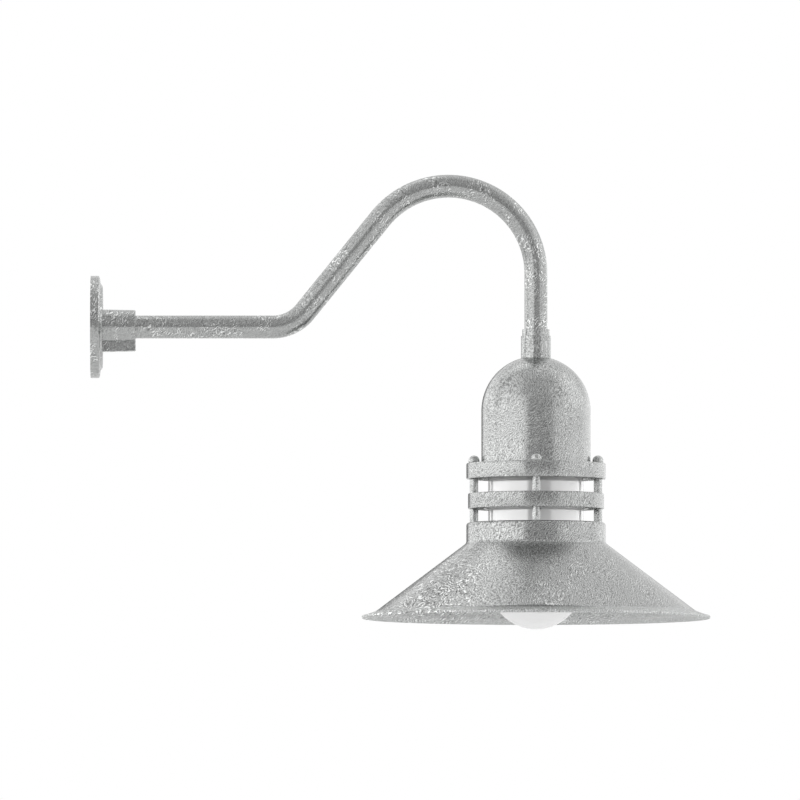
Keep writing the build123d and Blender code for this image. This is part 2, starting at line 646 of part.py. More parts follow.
def tie_rods():
    """Four threaded rods from the ball nuts down through the shade's top."""
    return around_head(rod(TIE_ROD_RADIUS, ROD_TOP_Z, ROD_BOTTOM_Z))


def ball_nuts():
    """Four ball-shaped cap nuts on the housing's flange."""
    centre = FLANGE_Z + BALL_NUT_HEIGHT - BALL_NUT_RADIUS
    ball = Pos(0, 0, centre) * Sphere(BALL_NUT_RADIUS)
    flat = rod(2 * BALL_NUT_RADIUS, FLANGE_Z, FLANGE_Z - 2 * BALL_NUT_RADIUS)
    return around_head(ball - flat - rod(TIE_ROD_RADIUS, ROD_TOP_Z, FLANGE_Z - OVERCUT))


def spacers(top, bottom):
    """Four tubes over the tie rods between two levels of the cage."""
    return around_head(tube(SPACER_RADIUS, TIE_HOLE_RADIUS, top, bottom))


def middle_ring():
    """Cast ring of channel section, open downwards, with a boss at each tie rod."""
    body = turned(
        [
            (RING_INNER_RADIUS, RING_BOTTOM_Z),
            (RING_INNER_RADIUS + RING_INNER_WALL, RING_BOTTOM_Z),
            (RING_INNER_RADIUS + RING_INNER_WALL, RING_TOP_Z - RING_WEB),
            (RING_RADIUS - RING_OUTER_WALL, RING_TOP_Z - RING_WEB),
            (RING_RADIUS - RING_OUTER_WALL, RING_BOTTOM_Z),
            (RING_RADIUS, RING_BOTTOM_Z),
            (RING_RADIUS, RING_TOP_Z),
            (RING_INNER_RADIUS, RING_TOP_Z),
        ],
        [
            CAST_EDGE,
            CAST_EDGE,
            CAST_CORNER,
            CAST_CORNER,
            CAST_EDGE,
            CAST_EDGE,
            RING_EDGE,
            CAST_CORNER,
        ],
    )
    inside = rod(RING_RADIUS - RING_OUTER_WALL / 2, RING_TOP_Z, RING_BOTTOM_Z)
    bosses = tie_holes(RING_BOSS_RADIUS, RING_TOP_Z - RING_WEB / 2 - OVERCUT, RING_BOTTOM_Z + OVERCUT)
    for boss in bosses:
        body = body + (boss & inside)
    for hole in tie_holes(TIE_HOLE_RADIUS, RING_TOP_Z, RING_BOTTOM_Z):
        body = body - hole
    return HEAD * body


def shade():
    """Spun shade: flat top, neck, cone, flared lip and rolled edge."""
    slope = math.atan2(CONE_HEIGHT, CONE_END_RADIUS - CAGE_RADIUS)
    lip_slope = math.atan2(LIP_HEIGHT, LIP_WIDTH - ROLL_RADIUS)
    roll_r = LIP_RADIUS - ROLL_RADIUS
    inner_neck = CAGE_RADIUS - SHADE_WALL
    # where the wall's inner lines cross, found from the slopes of the outer lines
    inner_neck_z = SHADE_NECK_BOTTOM_Z - SHADE_WALL * math.tan(math.pi / 4 - slope / 2)
    half = (slope + lip_slope) / 2
    spread = SHADE_WALL / math.cos((slope - lip_slope) / 2)
    inner_cone = (CONE_END_RADIUS - spread * math.sin(half), CONE_END_Z - spread * math.cos(half))
    lip_inner = (roll_r - SHADE_WALL * math.sin(lip_slope), LIP_Z - SHADE_WALL * math.cos(lip_slope))
    body = turned(
        [
            (SHADE_OPENING_RADIUS, SHADE_TOP_Z),
            (CAGE_RADIUS, SHADE_TOP_Z),
            (CAGE_RADIUS, SHADE_NECK_BOTTOM_Z),
            (CONE_END_RADIUS, CONE_END_Z),
            (roll_r, LIP_Z),
            lip_inner,
            inner_cone,
            (inner_neck, inner_neck_z),
            (inner_neck, LOWER_WASHER_Z),
            (SHADE_OPENING_RADIUS, LOWER_WASHER_Z),
        ],
        [
            SHADE_OPENING_EDGE,
            SHADE_SHOULDER,
            SHADE_NECK_BEND,
            LIP_BEND,
            0,
            0,
            LIP_BEND + SHADE_WALL,
            SHADE_NECK_BEND + SHADE_WALL,
            SHADE_SHOULDER - SHADE_WALL,
            SHADE_OPENING_EDGE,
        ],
    )
    roll_z = LIP_Z - SHADE_WALL * math.cos(lip_slope) / 2
    roll = revolve(Pos(roll_r, 0, roll_z) * Rot(90, 0, 0) * Circle(ROLL_RADIUS), Axis.Z)
    body = body + roll
    for hole in tie_holes(TIE_HOLE_RADIUS, SHADE_TOP_Z, LOWER_WASHER_Z):
        body = body - hole
    return HEAD * body


def lower_washers():
    """Four washers under the shade's top."""
    return around_head(tube(LOWER_WASHER_RADIUS, TIE_HOLE_RADIUS, LOWER_WASHER_Z, LOWER_NUT_Z))


def lower_nuts():
    """Four nuts that draw the cage together."""
    return around_head(
        hex_nut(LOWER_NUT_FLATS, TIE_ROD_RADIUS, LOWER_NUT_Z, LOWER_NUT_Z - LOWER_NUT_THICKNESS)
    )


# ---------------------------------------------------------------- jar


def glass_gasket():
    """Flat rubber ring between the holder and the jar's shoulder."""
    top = HOLDER_BOTTOM_Z - SEAT_GAP / 2
    return HEAD * tube(GLASS_GASKET_RADIUS, HOLDER_BORE_RADIUS, top, top - GLASS_GASKET_THICKNESS)


def glass_jar():
    """Blown jar: threaded neck, shoulder, straight wall and round bottom."""
    inner = GLASS_RADIUS - GLASS_WALL
    inner_neck = GLASS_NECK_RADIUS - GLASS_WALL
    inner_shoulder_z = GLASS_SHOULDER_Z - GLASS_WALL
    diagonal = math.sqrt(0.5)
    edges = [
        FilletPolyline(
            (GLASS_RADIUS, 0, GLASS_BALL_Z),
            (GLASS_RADIUS, 0, GLASS_SHOULDER_Z),
            (GLASS_NECK_RADIUS, 0, GLASS_SHOULDER_Z),
            (GLASS_NECK_RADIUS, 0, GLASS_MOUTH_Z),
            (inner_neck, 0, GLASS_MOUTH_Z),
            (inner_neck, 0, inner_shoulder_z),
            (inner, 0, inner_shoulder_z),
            (inner, 0, GLASS_BALL_Z),
            radius=[GLASS_SHOULDER, CAST_EDGE]
            + [GLASS_RIM_ROUNDING] * 3
            + [GLASS_SHOULDER / 2],
        ),
        ThreePointArc(
            (inner, 0, GLASS_BALL_Z),
            (inner * diagonal, 0, GLASS_BALL_Z - inner * diagonal),
            (0, 0, GLASS_BALL_Z - inner),
        ),
        Line((0, 0, GLASS_BALL_Z - inner), (0, 0, GLASS_BOTTOM_Z)),
        ThreePointArc(
            (0, 0, GLASS_BOTTOM_Z),
            (GLASS_RADIUS * diagonal, 0, GLASS_BALL_Z - GLASS_RADIUS * diagonal),
            (GLASS_RADIUS, 0, GLASS_BALL_Z),
        ),
    ]
    jar = revolve(make_face(Curve() + edges), Axis.Z)
    for turn in range(GLASS_THREAD_TURNS):
        z = GLASS_MOUTH_Z - GLASS_THREAD_PITCH * (turn + GLASS_THREAD_START)
        bead = revolve(Pos(GLASS_NECK_RADIUS, 0, z) * Rot(90, 0, 0) * Circle(GLASS_THREAD_RADIUS), Axis.Z)
        jar = jar + bead
    return HEAD * jar


# ---------------------------------------------------------------- socket and bulb


def socket_bracket():
    """Strap bent into a box: its top is held on the nipple, its bottom carries the socket."""
    top = BRACKET_TOP_Z
    outer = BRACKET_HALF_SPAN
    inner = outer - BRACKET_WALL
    strap = outline(
        [(-outer, top), (outer, top), (outer, SOCKET_TOP_Z), (-outer, SOCKET_TOP_Z)],
        [BRACKET_BEND] * 4,
    )
    hollow = outline(
        [(-inner, top - BRACKET_WALL), (inner, top - BRACKET_WALL)]
        + [(inner, BRACKET_BOTTOM_Z), (-inner, BRACKET_BOTTOM_Z)],
        [BRACKET_BEND - BRACKET_WALL] * 4,
    )
    body = extrude(strap - hollow, BRACKET_WIDTH / 2, both=True)
    body = body - rod(PIPE_RADIUS, top + OVERCUT, top - BRACKET_WALL - OVERCUT)
    body = body - rod(SOCKET_LEAD_WELL_RADIUS, BRACKET_BOTTOM_Z + OVERCUT, SOCKET_TOP_Z - OVERCUT)
    for side in (-1, 1):
        hole = rod(SOCKET_SCREW_RADIUS, BRACKET_BOTTOM_Z + OVERCUT, SOCKET_TOP_Z - OVERCUT)
        body = body - Pos(side * SOCKET_SCREW_OFFSET, 0, 0) * hole
    return HEAD * Rot(0, 0, 90) * body


def socket_body():
    """Porcelain socket with its lead well, screw holes and the cavity for the shell."""
    body = turned(
        [
            (0, SOCKET_TOP_Z),
            (SOCKET_COLLAR_RADIUS, SOCKET_TOP_Z),
            (SOCKET_COLLAR_RADIUS, SOCKET_TOP_Z - SOCKET_COLLAR_HEIGHT),
            (SOCKET_RADIUS, SOCKET_TOP_Z - SOCKET_COLLAR_HEIGHT),
            (SOCKET_RADIUS, SOCKET_MOUTH_Z),
            (0, SOCKET_MOUTH_Z),
        ],
        [0, SOCKET_EDGE, SOCKET_EDGE, SOCKET_EDGE, SOCKET_EDGE, 0],
    )
    well_bottom = SOCKET_TOP_Z - SOCKET_LEAD_WELL_DEPTH
    body = body - rod(SOCKET_LEAD_WELL_RADIUS, SOCKET_TOP_Z + OVERCUT, well_bottom)
    body = body - rod(SHELL_RADIUS + SHELL_WALL, SHELL_TOP_Z, SOCKET_MOUTH_Z - OVERCUT)
    for side in (-1, 1):
        hole = rod(SOCKET_SCREW_RADIUS, SOCKET_TOP_Z + OVERCUT, SOCKET_TOP_Z - SOCKET_SCREW_BITE)
        body = body - Rot(0, 0, 90) * Pos(side * SOCKET_SCREW_OFFSET, 0, 0) * hole
    return HEAD * body


def socket_shell():
    """Brass screw shell inside the porcelain."""
    bottom = SOCKET_MOUTH_Z + SHELL_MOUTH_MARGIN
    return HEAD * tube(SHELL_RADIUS + SHELL_WALL, SHELL_RADIUS, SHELL_TOP_Z, bottom)


def socket_contact():
    """Centre contact at the top of the shell's cavity."""
    return HEAD * rod(CONTACT_RADIUS, SHELL_TOP_Z, CONTACT_BOTTOM_Z)


def socket_screws():
    """Two screws that hold the socket under the bracket."""
    head_top = BRACKET_BOTTOM_Z + SOCKET_SCREW_HEAD
    shank = rod(SOCKET_SCREW_RADIUS, BRACKET_BOTTOM_Z, SOCKET_TOP_Z - SOCKET_SCREW_BITE)
    head = turned(
        [(0, BRACKET_BOTTOM_Z), (SOCKET_SCREW_HEAD_RADIUS, BRACKET_BOTTOM_Z)]
        + [(SOCKET_SCREW_HEAD_RADIUS, head_top), (0, head_top)],
        [0, 0, SCREW_HEAD_ROUNDING, 0],
    )
    screw = shank + head
    return [HEAD * Pos(0, side * SOCKET_SCREW_OFFSET, 0) * screw for side in (-1, 1)]


def bulb_base():
    """Rolled screw base of the bulb."""
    root = BULB_BASE_RADIUS - BULB_THREAD_DEPTH
    points = [(0, BULB_GLASS_Z), (BULB_BASE_RADIUS, BULB_GLASS_Z)]
    for turn in range(BULB_THREADS):
        z = BULB_GLASS_Z + BULB_THREAD_START + turn * BULB_THREAD_PITCH
        points += [(BULB_BASE_RADIUS, z), (root, z + BULB_THREAD_PITCH / 2)]
    points += [(root, BULB_BASE_Z - BULB_BASE_TAPER), (BULB_INSULATOR_RADIUS, BULB_BASE_Z)]
    return HEAD * turned(points + [(0, BULB_BASE_Z)])


def bulb_insulator():
    """Glass insulator between the base and the tip."""
    return HEAD * turned(
        [(0, BULB_BASE_Z), (BULB_INSULATOR_RADIUS, BULB_BASE_Z)]
        + [(BULB_TIP_RADIUS, BULB_INSULATOR_Z), (0, BULB_INSULATOR_Z)]
    )


def bulb_tip():
    """Solder contact at the bulb's end."""
    return HEAD * turned(
        [(0, BULB_INSULATOR_Z), (BULB_TIP_RADIUS, BULB_INSULATOR_Z)]
        + [(BULB_TIP_RADIUS, BULB_TIP_Z), (0, BULB_TIP_Z)],
        [0, 0, SCREW_HEAD_ROUNDING, 0],
    )


def bulb_glass():
    """Pear-shaped bulb: a ball, a tapering neck and a rim at the base's edge."""
    neck_end_z = BULB_GLASS_Z - BULB_NECK_HEIGHT
    angle = math.radians(BULB_SHOULDER_ANGLE)
    down = (0, 0, -1)
    round_the_ball = (math.sin(angle), 0, -math.cos(angle))

    def pear(shrink):
        """Half outline of the bulb, drawn in by a wall thickness."""
        radius = BULB_RADIUS - shrink
        neck = BULB_NECK_RADIUS - shrink
        shoulder = (radius * math.cos(angle), 0, BULB_BALL_Z + radius * math.sin(angle))
        neck_end = (neck, 0, neck_end_z)
        return [
            Line((neck, 0, BULB_GLASS_Z), neck_end),
            Spline(neck_end, shoulder, tangents=[down, round_the_ball]),
            ThreePointArc(shoulder, (radius, 0, BULB_BALL_Z), (0, 0, BULB_BALL_Z - radius)),
        ]

    outer = pear(0)
    inner = pear(BULB_GLASS_WALL)
    inner_neck = BULB_NECK_RADIUS - BULB_GLASS_WALL
    low = BULB_BALL_Z - BULB_RADIUS
    rim = Line((BULB_NECK_RADIUS, 0, BULB_GLASS_Z), (inner_neck, 0, BULB_GLASS_Z))
    bottom = Line((0, 0, low), (0, 0, low + BULB_GLASS_WALL))
    return HEAD * revolve(make_face(Curve() + outer + inner + [rim, bottom]), Axis.Z)


# ---------------------------------------------------------------- write the parts

NODES = {
    "wall_plate": wall_plate(),
    "wall_gasket": wall_gasket(),
    "hub_set_screws": hub_set_screws(),
    "ground_screw": ground_screw(),
    "gooseneck_arm": gooseneck_arm(),
    "arm_bushing": arm_bushing(),
    "line_lead": lead(-1),
    "neutral_lead": lead(0),
    "ground_lead": lead(1),
    "collar": collar(),
    "collar_set_screw": collar_set_screw(),
    "nipple": nipple(),
    "nipple_washer": nipple_washer(),
    "nipple_locknut": nipple_locknut(),
    "housing": housing(),
    "glass_holder": glass_holder(),
    "tie_rods": tie_rods(),
    "ball_nuts": ball_nuts(),
    "upper_spacers": spacers(HOLDER_BOTTOM_Z, RING_TOP_Z),
    "middle_ring": middle_ring(),
    "lower_spacers": spacers(RING_BOTTOM_Z, SHADE_TOP_Z),
    "shade": shade(),
    "lower_washers": lower_washers(),
    "lower_nuts": lower_nuts(),
    "socket_bracket": socket_bracket(),
    "socket_body": socket_body(),
    "socket_shell": socket_shell(),
    "socket_contact": socket_contact(),
    "socket_screws": socket_screws(),
    "glass_gasket": glass_gasket(),
    "glass_jar": glass_jar(),
    "bulb_base": bulb_base(),
    "bulb_insulator": bulb_insulator(),
    "bulb_tip": bulb_tip(),
    "bulb_glass": bulb_glass(),
}

os.makedirs("parts", exist_ok=True)
for name, shape in NODES.items():
    group = shape if isinstance(shape, list) else [shape]
    solids = [solid for piece in group for solid in piece.solids()]
    export_step(Compound(children=solids), f"parts/{name}.step")
    print(name, len(solids), "solid(s)", round(sum(solid.volume for solid in solids)), "mm3")
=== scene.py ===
# %% [markdown]
# # A gooseneck wall sconce in galvanised finish
#
# This lesson dresses a imported CAD model of a wall sconce. The model comes in as a fixed frame of
# named nodes, in metres, and every piece made here sits where the CAD says. The wall is the plane
# X = 0, the arm leaves it along +X, and the head hangs on the upright line at the arm's far end.
# We load the frame first, and a node's box is read from it each time a piece is reported, because
# nothing made later may reach outside it.

import math

import bmesh
import bpy
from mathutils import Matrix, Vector


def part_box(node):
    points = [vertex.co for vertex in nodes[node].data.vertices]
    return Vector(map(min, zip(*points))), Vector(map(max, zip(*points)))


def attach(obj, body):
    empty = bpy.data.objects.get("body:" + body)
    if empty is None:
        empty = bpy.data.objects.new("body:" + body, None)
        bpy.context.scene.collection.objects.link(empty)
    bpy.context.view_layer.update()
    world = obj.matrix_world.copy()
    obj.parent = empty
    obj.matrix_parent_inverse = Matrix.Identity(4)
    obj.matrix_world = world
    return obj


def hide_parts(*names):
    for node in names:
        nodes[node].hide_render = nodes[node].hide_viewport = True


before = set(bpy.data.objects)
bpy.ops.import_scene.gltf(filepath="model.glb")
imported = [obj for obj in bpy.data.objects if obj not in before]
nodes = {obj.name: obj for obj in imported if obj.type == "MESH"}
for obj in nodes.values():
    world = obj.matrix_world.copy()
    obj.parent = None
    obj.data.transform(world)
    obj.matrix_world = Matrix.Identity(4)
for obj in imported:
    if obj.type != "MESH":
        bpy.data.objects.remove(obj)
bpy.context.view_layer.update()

# %% [markdown]
# ## Units and the head's axis
#
# The frame is in metres, but a maker of lamps thinks in millimetres. So the pieces' sizes are
# written in millimetres here, and become metres where a mesh is made. The head hangs on one upright
# line, which the lamps, the shade's finish and all turned pieces need.

# %% Units
MM = 0.001
HEAD_X = 519.0
HEAD_AXIS = (HEAD_X * MM, 0.0, 0.0)
print("the head hangs at X =", HEAD_X, "mm")

# %% [markdown]
# ## The camera
#
# The picture is taken straight along +Y from a long way off, so that the arm shows in its true
# shape, and from a little below, so that the far side of the shade's rim shows under the near one.
# A long lens from 25 m does both. The lens comes from the width that the frame must show at the
# object, and no shift is needed because the camera points at the middle of that frame.

# %% Camera
CAMERA_DISTANCE = 25.0
CAMERA_ELEVATION = math.radians(-2.7)
CAMERA_REACH = 200.0
FRAME_WIDTH = 0.9324
FRAME_CENTRE = Vector((0.3605, 0.0, -0.0852))
SENSOR = 36.0

camera_data = bpy.data.cameras.new("camera")
camera_data.sensor_width = SENSOR
camera_data.lens = SENSOR * CAMERA_DISTANCE / FRAME_WIDTH
camera_data.clip_end = CAMERA_REACH
camera = bpy.data.objects.new("camera", camera_data)
bpy.context.scene.collection.objects.link(camera)
back = Vector((0.0, -math.cos(CAMERA_ELEVATION), math.sin(CAMERA_ELEVATION)))
camera.location = FRAME_CENTRE + CAMERA_DISTANCE * back
camera.rotation_euler = (-back).to_track_quat("-Z", "Y").to_euler()
bpy.context.scene.camera = camera
bpy.context.scene.view_settings.view_transform = "Standard"
print("lens:", round(camera_data.lens, 1), "mm, camera at", [round(v, 3) for v in camera.location])

# %% [markdown]
# ## Shader maths as Python
#
# A node tree is a sum of small steps, and wiring them one by one hides the sum. The class below
# wraps one output socket, so that `0.6 + 0.2 * grain` adds the Math nodes that it needs.

# %% Sockets that can be added and multiplied
class Signal:
    """An output socket, on which Python's operators build Math nodes."""

    def __init__(self, kit, socket):
        self.kit = kit
        self.socket = socket

    def output(self, key):
        """Another output of the same node."""
        return Signal(self.kit, self.socket.node.outputs[key])

    def __add__(self, other):
        return self.kit.math("ADD", self, other)

    def __mul__(self, other):
        return self.kit.math("MULTIPLY", self, other)

    def __sub__(self, other):
        return self.kit.math("SUBTRACT", self, other)

    def __rsub__(self, other):
        return self.kit.math("SUBTRACT", other, self)

    def __truediv__(self, other):
        return self.kit.math("DIVIDE", self, other)

    def __rtruediv__(self, other):
        return self.kit.math("DIVIDE", other, self)

    def __abs__(self):
        return self.kit.math("ABSOLUTE", self)

    __radd__ = __add__
    __rmul__ = __mul__


print("operators on sockets: + - * / abs")

# %% [markdown]
# Anything that isn't arithmetic comes from one method, `node`, which takes a node's type, its
# settings and the values or links of its sockets. The other methods are short names for the few
# nodes that the finishes use over and over.

# %% A kit that builds nodes
class Kit:
    """Builds the nodes of one tree."""

    def __init__(self, tree):
        self.tree = tree

    def node(self, kind, settings=None, sockets=None, out=0):
        """Adds a node, sets it up and feeds its sockets. It gives the output that out names."""
        made = self.tree.nodes.new(kind)
        for name, value in (settings or {}).items():
            setattr(made, name, value)
        for key, value in (sockets or {}).items():
            self.feed(made.inputs[key], value)
        return Signal(self, made.outputs[out]) if made.outputs else None

    def feed(self, socket, value):
        """Links a signal, or a list of them, to a socket. Anything else becomes its value."""
        if isinstance(value, Signal):
            self.tree.links.new(value.socket, socket)
        elif isinstance(value, list):
            for signal in value:
                self.tree.links.new(signal.socket, socket)
        else:
            socket.default_value = value

    def math(self, operation, *values):
        return self.node("ShaderNodeMath", {"operation": operation}, dict(enumerate(values)))

    def vector(self, operation, first, second):
        """Vector Math on two vectors. A dot product or a distance comes out as a number."""
        out = "Value" if operation in ("DOT_PRODUCT", "DISTANCE") else "Vector"
        return self.node("ShaderNodeVectorMath", {"operation": operation}, {0: first, 1: second}, out)

    def step(self, value, start, end):
        """A smooth change from 0 at start to 1 at end, whichever of the two is larger."""
        first, last = (0.0, 1.0) if start < end else (1.0, 0.0)
        sockets = {0: value, 1: min(start, end), 2: max(start, end), 3: first, 4: last}
        return self.node("ShaderNodeMapRange", {"interpolation_type": "SMOOTHSTEP"}, sockets)

    def noise(self, place, scale, detail=0.0, rough=0.5, distortion=0.0, out=0):
        """Noise about 0.5, as a number. The output Color has three such numbers."""
        sockets = {"Vector": place, "Scale": scale, "Detail": detail}
        sockets.update({"Roughness": rough, "Distortion": distortion})
        return self.node("ShaderNodeTexNoise", {}, sockets, out)

    def blend(self, factor, first, second):
        """A colour between two. A Mix node has its colours at inputs 6 and 7 and at output 2."""
        return self.node("ShaderNodeMix", {"data_type": "RGBA"}, {0: factor, 6: first, 7: second}, 2)


def fade(first, second, mask):
    """The first value where the mask is 0, and the second where it is 1."""
    return first + (second - first) * mask


print("kit ready")

# %% [markdown]
# ## The studio
#
# Bare metal has no colour of its own to show: it shows the room. The camera, reflections and clear
# glass all see the same white backdrop, at a strength of 1. In reflections it also has the shape of
# a real studio, with walls, a ceiling and an unlit side. All of it hangs on the world's direction,
# so it stays put when the camera walks round. We start with the three parts of that direction.

# %% Directions of the world
world = bpy.data.worlds.new("studio")
bpy.context.scene.world = world
world.use_nodes = True
world.node_tree.nodes.clear()
sky = Kit(world.node_tree)
direction = sky.node("ShaderNodeTexCoord", out="Generated")
east = sky.node("ShaderNodeSeparateXYZ", {}, {0: direction})
north = east.output(1)
up = east.output(2)
print("the camera looks north, and the wall is west")

# %% [markdown]
# The levels of the room are shares of the backdrop's white, and an edge is the pair of numbers
# between which one level fades into the next. The left wall is the bright one. The right wall is
# greyer, but low down it gets bright again towards the back. The side behind the camera is unlit,
# and it is what draws the soft dark stripe down the middle of every round piece.

# %% Walls
LEFT_WALL = 1.20
RIGHT_WALL = 0.82
RIGHT_BACK = 1.14
UNLIT_SIDE = 0.44
RIGHT_EDGE = (-0.15, 0.30)
RIGHT_BACK_EDGE = (0.20, 0.75)
RIGHT_LOW_EDGE = (0.35, 0.10)
UNLIT_LEFT_EDGE = (-0.42, -0.27)
UNLIT_RIGHT_EDGE = (0.66, 0.52)
UNLIT_BACK_EDGE = (0.20, -0.10)

low_back = sky.step(north, *RIGHT_BACK_EDGE) * sky.step(up, *RIGHT_LOW_EDGE)
right = fade(RIGHT_WALL, RIGHT_BACK, low_back)
side = fade(LEFT_WALL, right, sky.step(east, *RIGHT_EDGE))
unlit = sky.step(east, *UNLIT_LEFT_EDGE) * sky.step(east, *UNLIT_RIGHT_EDGE)
unlit = unlit * sky.step(north, *UNLIT_BACK_EDGE)
walls = fade(side, UNLIT_SIDE, unlit)
print("walls:", LEFT_WALL, RIGHT_WALL, UNLIT_SIDE)

# %% [markdown]
# The ceiling is darker over the camera than at the back and a little brighter to both sides, and a
# soft panel of light hangs at the back of it, on the wall's side. Straight behind the object, a
# thin gap in the backdrop stays dark. It draws the thin dark line at the edges of round pieces.

# %% Ceiling and gap
CEILING_FRONT = 0.55
CEILING_BACK = 0.86
CEILING_SIDES = 0.12
PANEL = 0.34
PANEL_PLACE = (-0.27, 0.41, 0.87)
BACK_GAP = 0.15
GAP_PLACE = (-0.174, 0.985, 0.0)
CEILING_BACK_EDGE = (-0.40, 0.20)
CEILING_SIDE_EDGE = (0.30, 0.60)
CEILING_EDGE = (0.25, 0.62)
PANEL_EDGE = (0.34, 0.10)
GAP_EDGE = (0.91, 0.99)

from_panel = sky.vector("DISTANCE", direction, PANEL_PLACE)
ceiling = fade(CEILING_FRONT, CEILING_BACK, sky.step(north, *CEILING_BACK_EDGE))
ceiling = ceiling + CEILING_SIDES * sky.step(abs(east), *CEILING_SIDE_EDGE)
ceiling = ceiling + PANEL * sky.step(from_panel, *PANEL_EDGE)
room = fade(walls, ceiling, sky.step(up, *CEILING_EDGE))
gap = sky.step(sky.vector("DOT_PRODUCT", direction, GAP_PLACE), *GAP_EDGE)
room = fade(room, BACK_GAP, gap)
print("ceiling:", CEILING_FRONT, "to", CEILING_BACK, "and the gap:", BACK_GAP)

# %% [markdown]
# Matt surfaces are lit by something softer, which is strong on both sides and weak in front, so
# that the white glass keeps its shape. Light Path then tells the rays apart: those of the camera
# and those that pass through glass see plain white, reflections see the room, and all others are
# this soft light.

# %% Light for matt surfaces
SOFT_FRONT = 0.12
SOFT_SIDES = 6.10
SOFT_CEILING = 1.20
SOFT_SIDE_EDGE = (0.75, 0.97)
SOFT_CEILING_EDGE = (0.25, 0.85)
SOFT_MIDDLE_EDGE = (0.70, 0.35)
WHITE = (1.0, 1.0, 1.0, 1.0)

soft = fade(SOFT_FRONT, SOFT_SIDES, sky.step(abs(east), *SOFT_SIDE_EDGE))
soft_overhead = sky.step(up, *SOFT_CEILING_EDGE) * sky.step(abs(east), *SOFT_MIDDLE_EDGE)
soft = fade(soft, SOFT_CEILING, soft_overhead)
to_camera = sky.node("ShaderNodeLightPath", out="Is Camera Ray")
glossy = to_camera.output("Is Glossy Ray")
through = to_camera.output("Is Transmission Ray")
sees_backdrop = sky.math("MAXIMUM", sky.math("MAXIMUM", to_camera, glossy), through)
backdrop = fade(1.0, room, glossy * (1.0 - through))
level = fade(soft, backdrop, sees_backdrop)
background = sky.node("ShaderNodeBackground", {}, {"Color": WHITE, "Strength": level})
sky.node("ShaderNodeOutputWorld", {}, {"Surface": background})
print("world nodes:", len(world.node_tree.nodes))

# %% [markdown]
# ## The lamps
#
# Two soft boxes give the metal a little more shape than the room alone. They are large and far
# off, because a small lamp would leave a hot spot on every round piece.

# %% Lamps
LAMP_SIZE = 5.0
LAMP_POWER = 12.0
LAMP_AIM = Vector((HEAD_X * MM, 0.0, -0.2))
KEY_PLACE = (-4.0, -3.0, 5.0)
FILL_PLACE = (6.0, 1.0, 3.0)


def soft_lamp(name, place):
    """A square soft box that points at the head."""
    data = bpy.data.lights.new(name, "AREA")
    data.size = LAMP_SIZE
    data.energy = LAMP_POWER
    lamp = bpy.data.objects.new(name, data)
    lamp.location = place
    lamp.rotation_euler = (LAMP_AIM - Vector(place)).to_track_quat("-Z", "Y").to_euler()
    bpy.context.scene.collection.objects.link(lamp)
    return lamp


lamps = [soft_lamp("key_lamp", KEY_PLACE), soft_lamp("fill_lamp", FILL_PLACE)]
print("lamps:", [lamp.name for lamp in lamps])

# %% [markdown]
# ## The floor
#
# The object hangs in the air of a white studio. The floor is far below it, pale and matt, and it
# catches a faint shadow. A view from under it looks through it, because its back is clear.

# %% Floor
FLOOR_Z = -1.60
FLOOR_HALF = 30.0
FLOOR_GREY = (0.82, 0.82, 0.82, 1.0)

floor_mesh = bpy.data.meshes.new("floor")
floor_corners = [(-1, -1), (1, -1), (1, 1), (-1, 1)]
floor_points = [(x * FLOOR_HALF, y * FLOOR_HALF, FLOOR_Z) for x, y in floor_corners]
floor_mesh.from_pydata(floor_points, [], [(0, 1, 2, 3)])
floor = bpy.data.objects.new("floor", floor_mesh)
bpy.context.scene.collection.objects.link(floor)
floor_paint = bpy.data.materials.new("floor_paint")
floor_paint.use_nodes = True
floor_paint.node_tree.nodes.clear()
kit = Kit(floor_paint.node_tree)
matt = kit.node("ShaderNodeBsdfDiffuse", {}, {"Color": FLOOR_GREY})
clear = kit.node("ShaderNodeBsdfTransparent")
from_below = kit.node("ShaderNodeNewGeometry", out="Backfacing")
surface = kit.node("ShaderNodeMixShader", {}, {0: from_below, 1: matt, 2: clear})
kit.node("ShaderNodeOutputMaterial", {}, {"Surface": surface})
floor_mesh.materials.append(floor_paint)
print("floor at", FLOOR_Z, "m")

# %% [markdown]
# ## Every finish starts the same way
#
# A finish is one Principled shader, fed by patterns that read the object's own coordinates, so that
# they sit still on the metal when the joints move. Three helpers make it, set it and roughen it.

# %% Material helpers
def new_material(name):
    material = bpy.data.materials.new(name)
    material.use_nodes = True
    kit = Kit(material.node_tree)
    shader = material.node_tree.nodes["Principled BSDF"]
    place = kit.node("ShaderNodeTexCoord", out="Object")
    return material, kit, shader, place


def set_up(kit, shader, **values):
    """Sets the shader's sockets; an underscore in a name stands for a space."""
    for name, value in values.items():
        kit.feed(shader.inputs[name.replace("_", " ")], value)


def bump(kit, height, strength, distance):
    sockets = {"Height": height, "Strength": strength, "Distance": distance}
    return kit.node("ShaderNodeBump", {}, sockets)


print("material helpers ready")

# %% [markdown]
# ## The galvanised finish
#
# Most of the sconce wears one finish: light grey metal with a fine grain, faint curls all over, and
# patches of short white curly strokes, like frost. A picture of it would show seams and would stay
# flat, so it is made of noise. The curls are a wave that runs across the piece: a broad noise
# sweeps it to and fro, and a finer one bends it.

# %% Curls
SWEEP_RATE = 26.0
SWEEP = (0.022, 0.022, 0.022)
BEND_TURNS = 2.6
BEND_DISTORTION = 0.5
WAVE_RUN = (0.7, 0.5, -0.5)


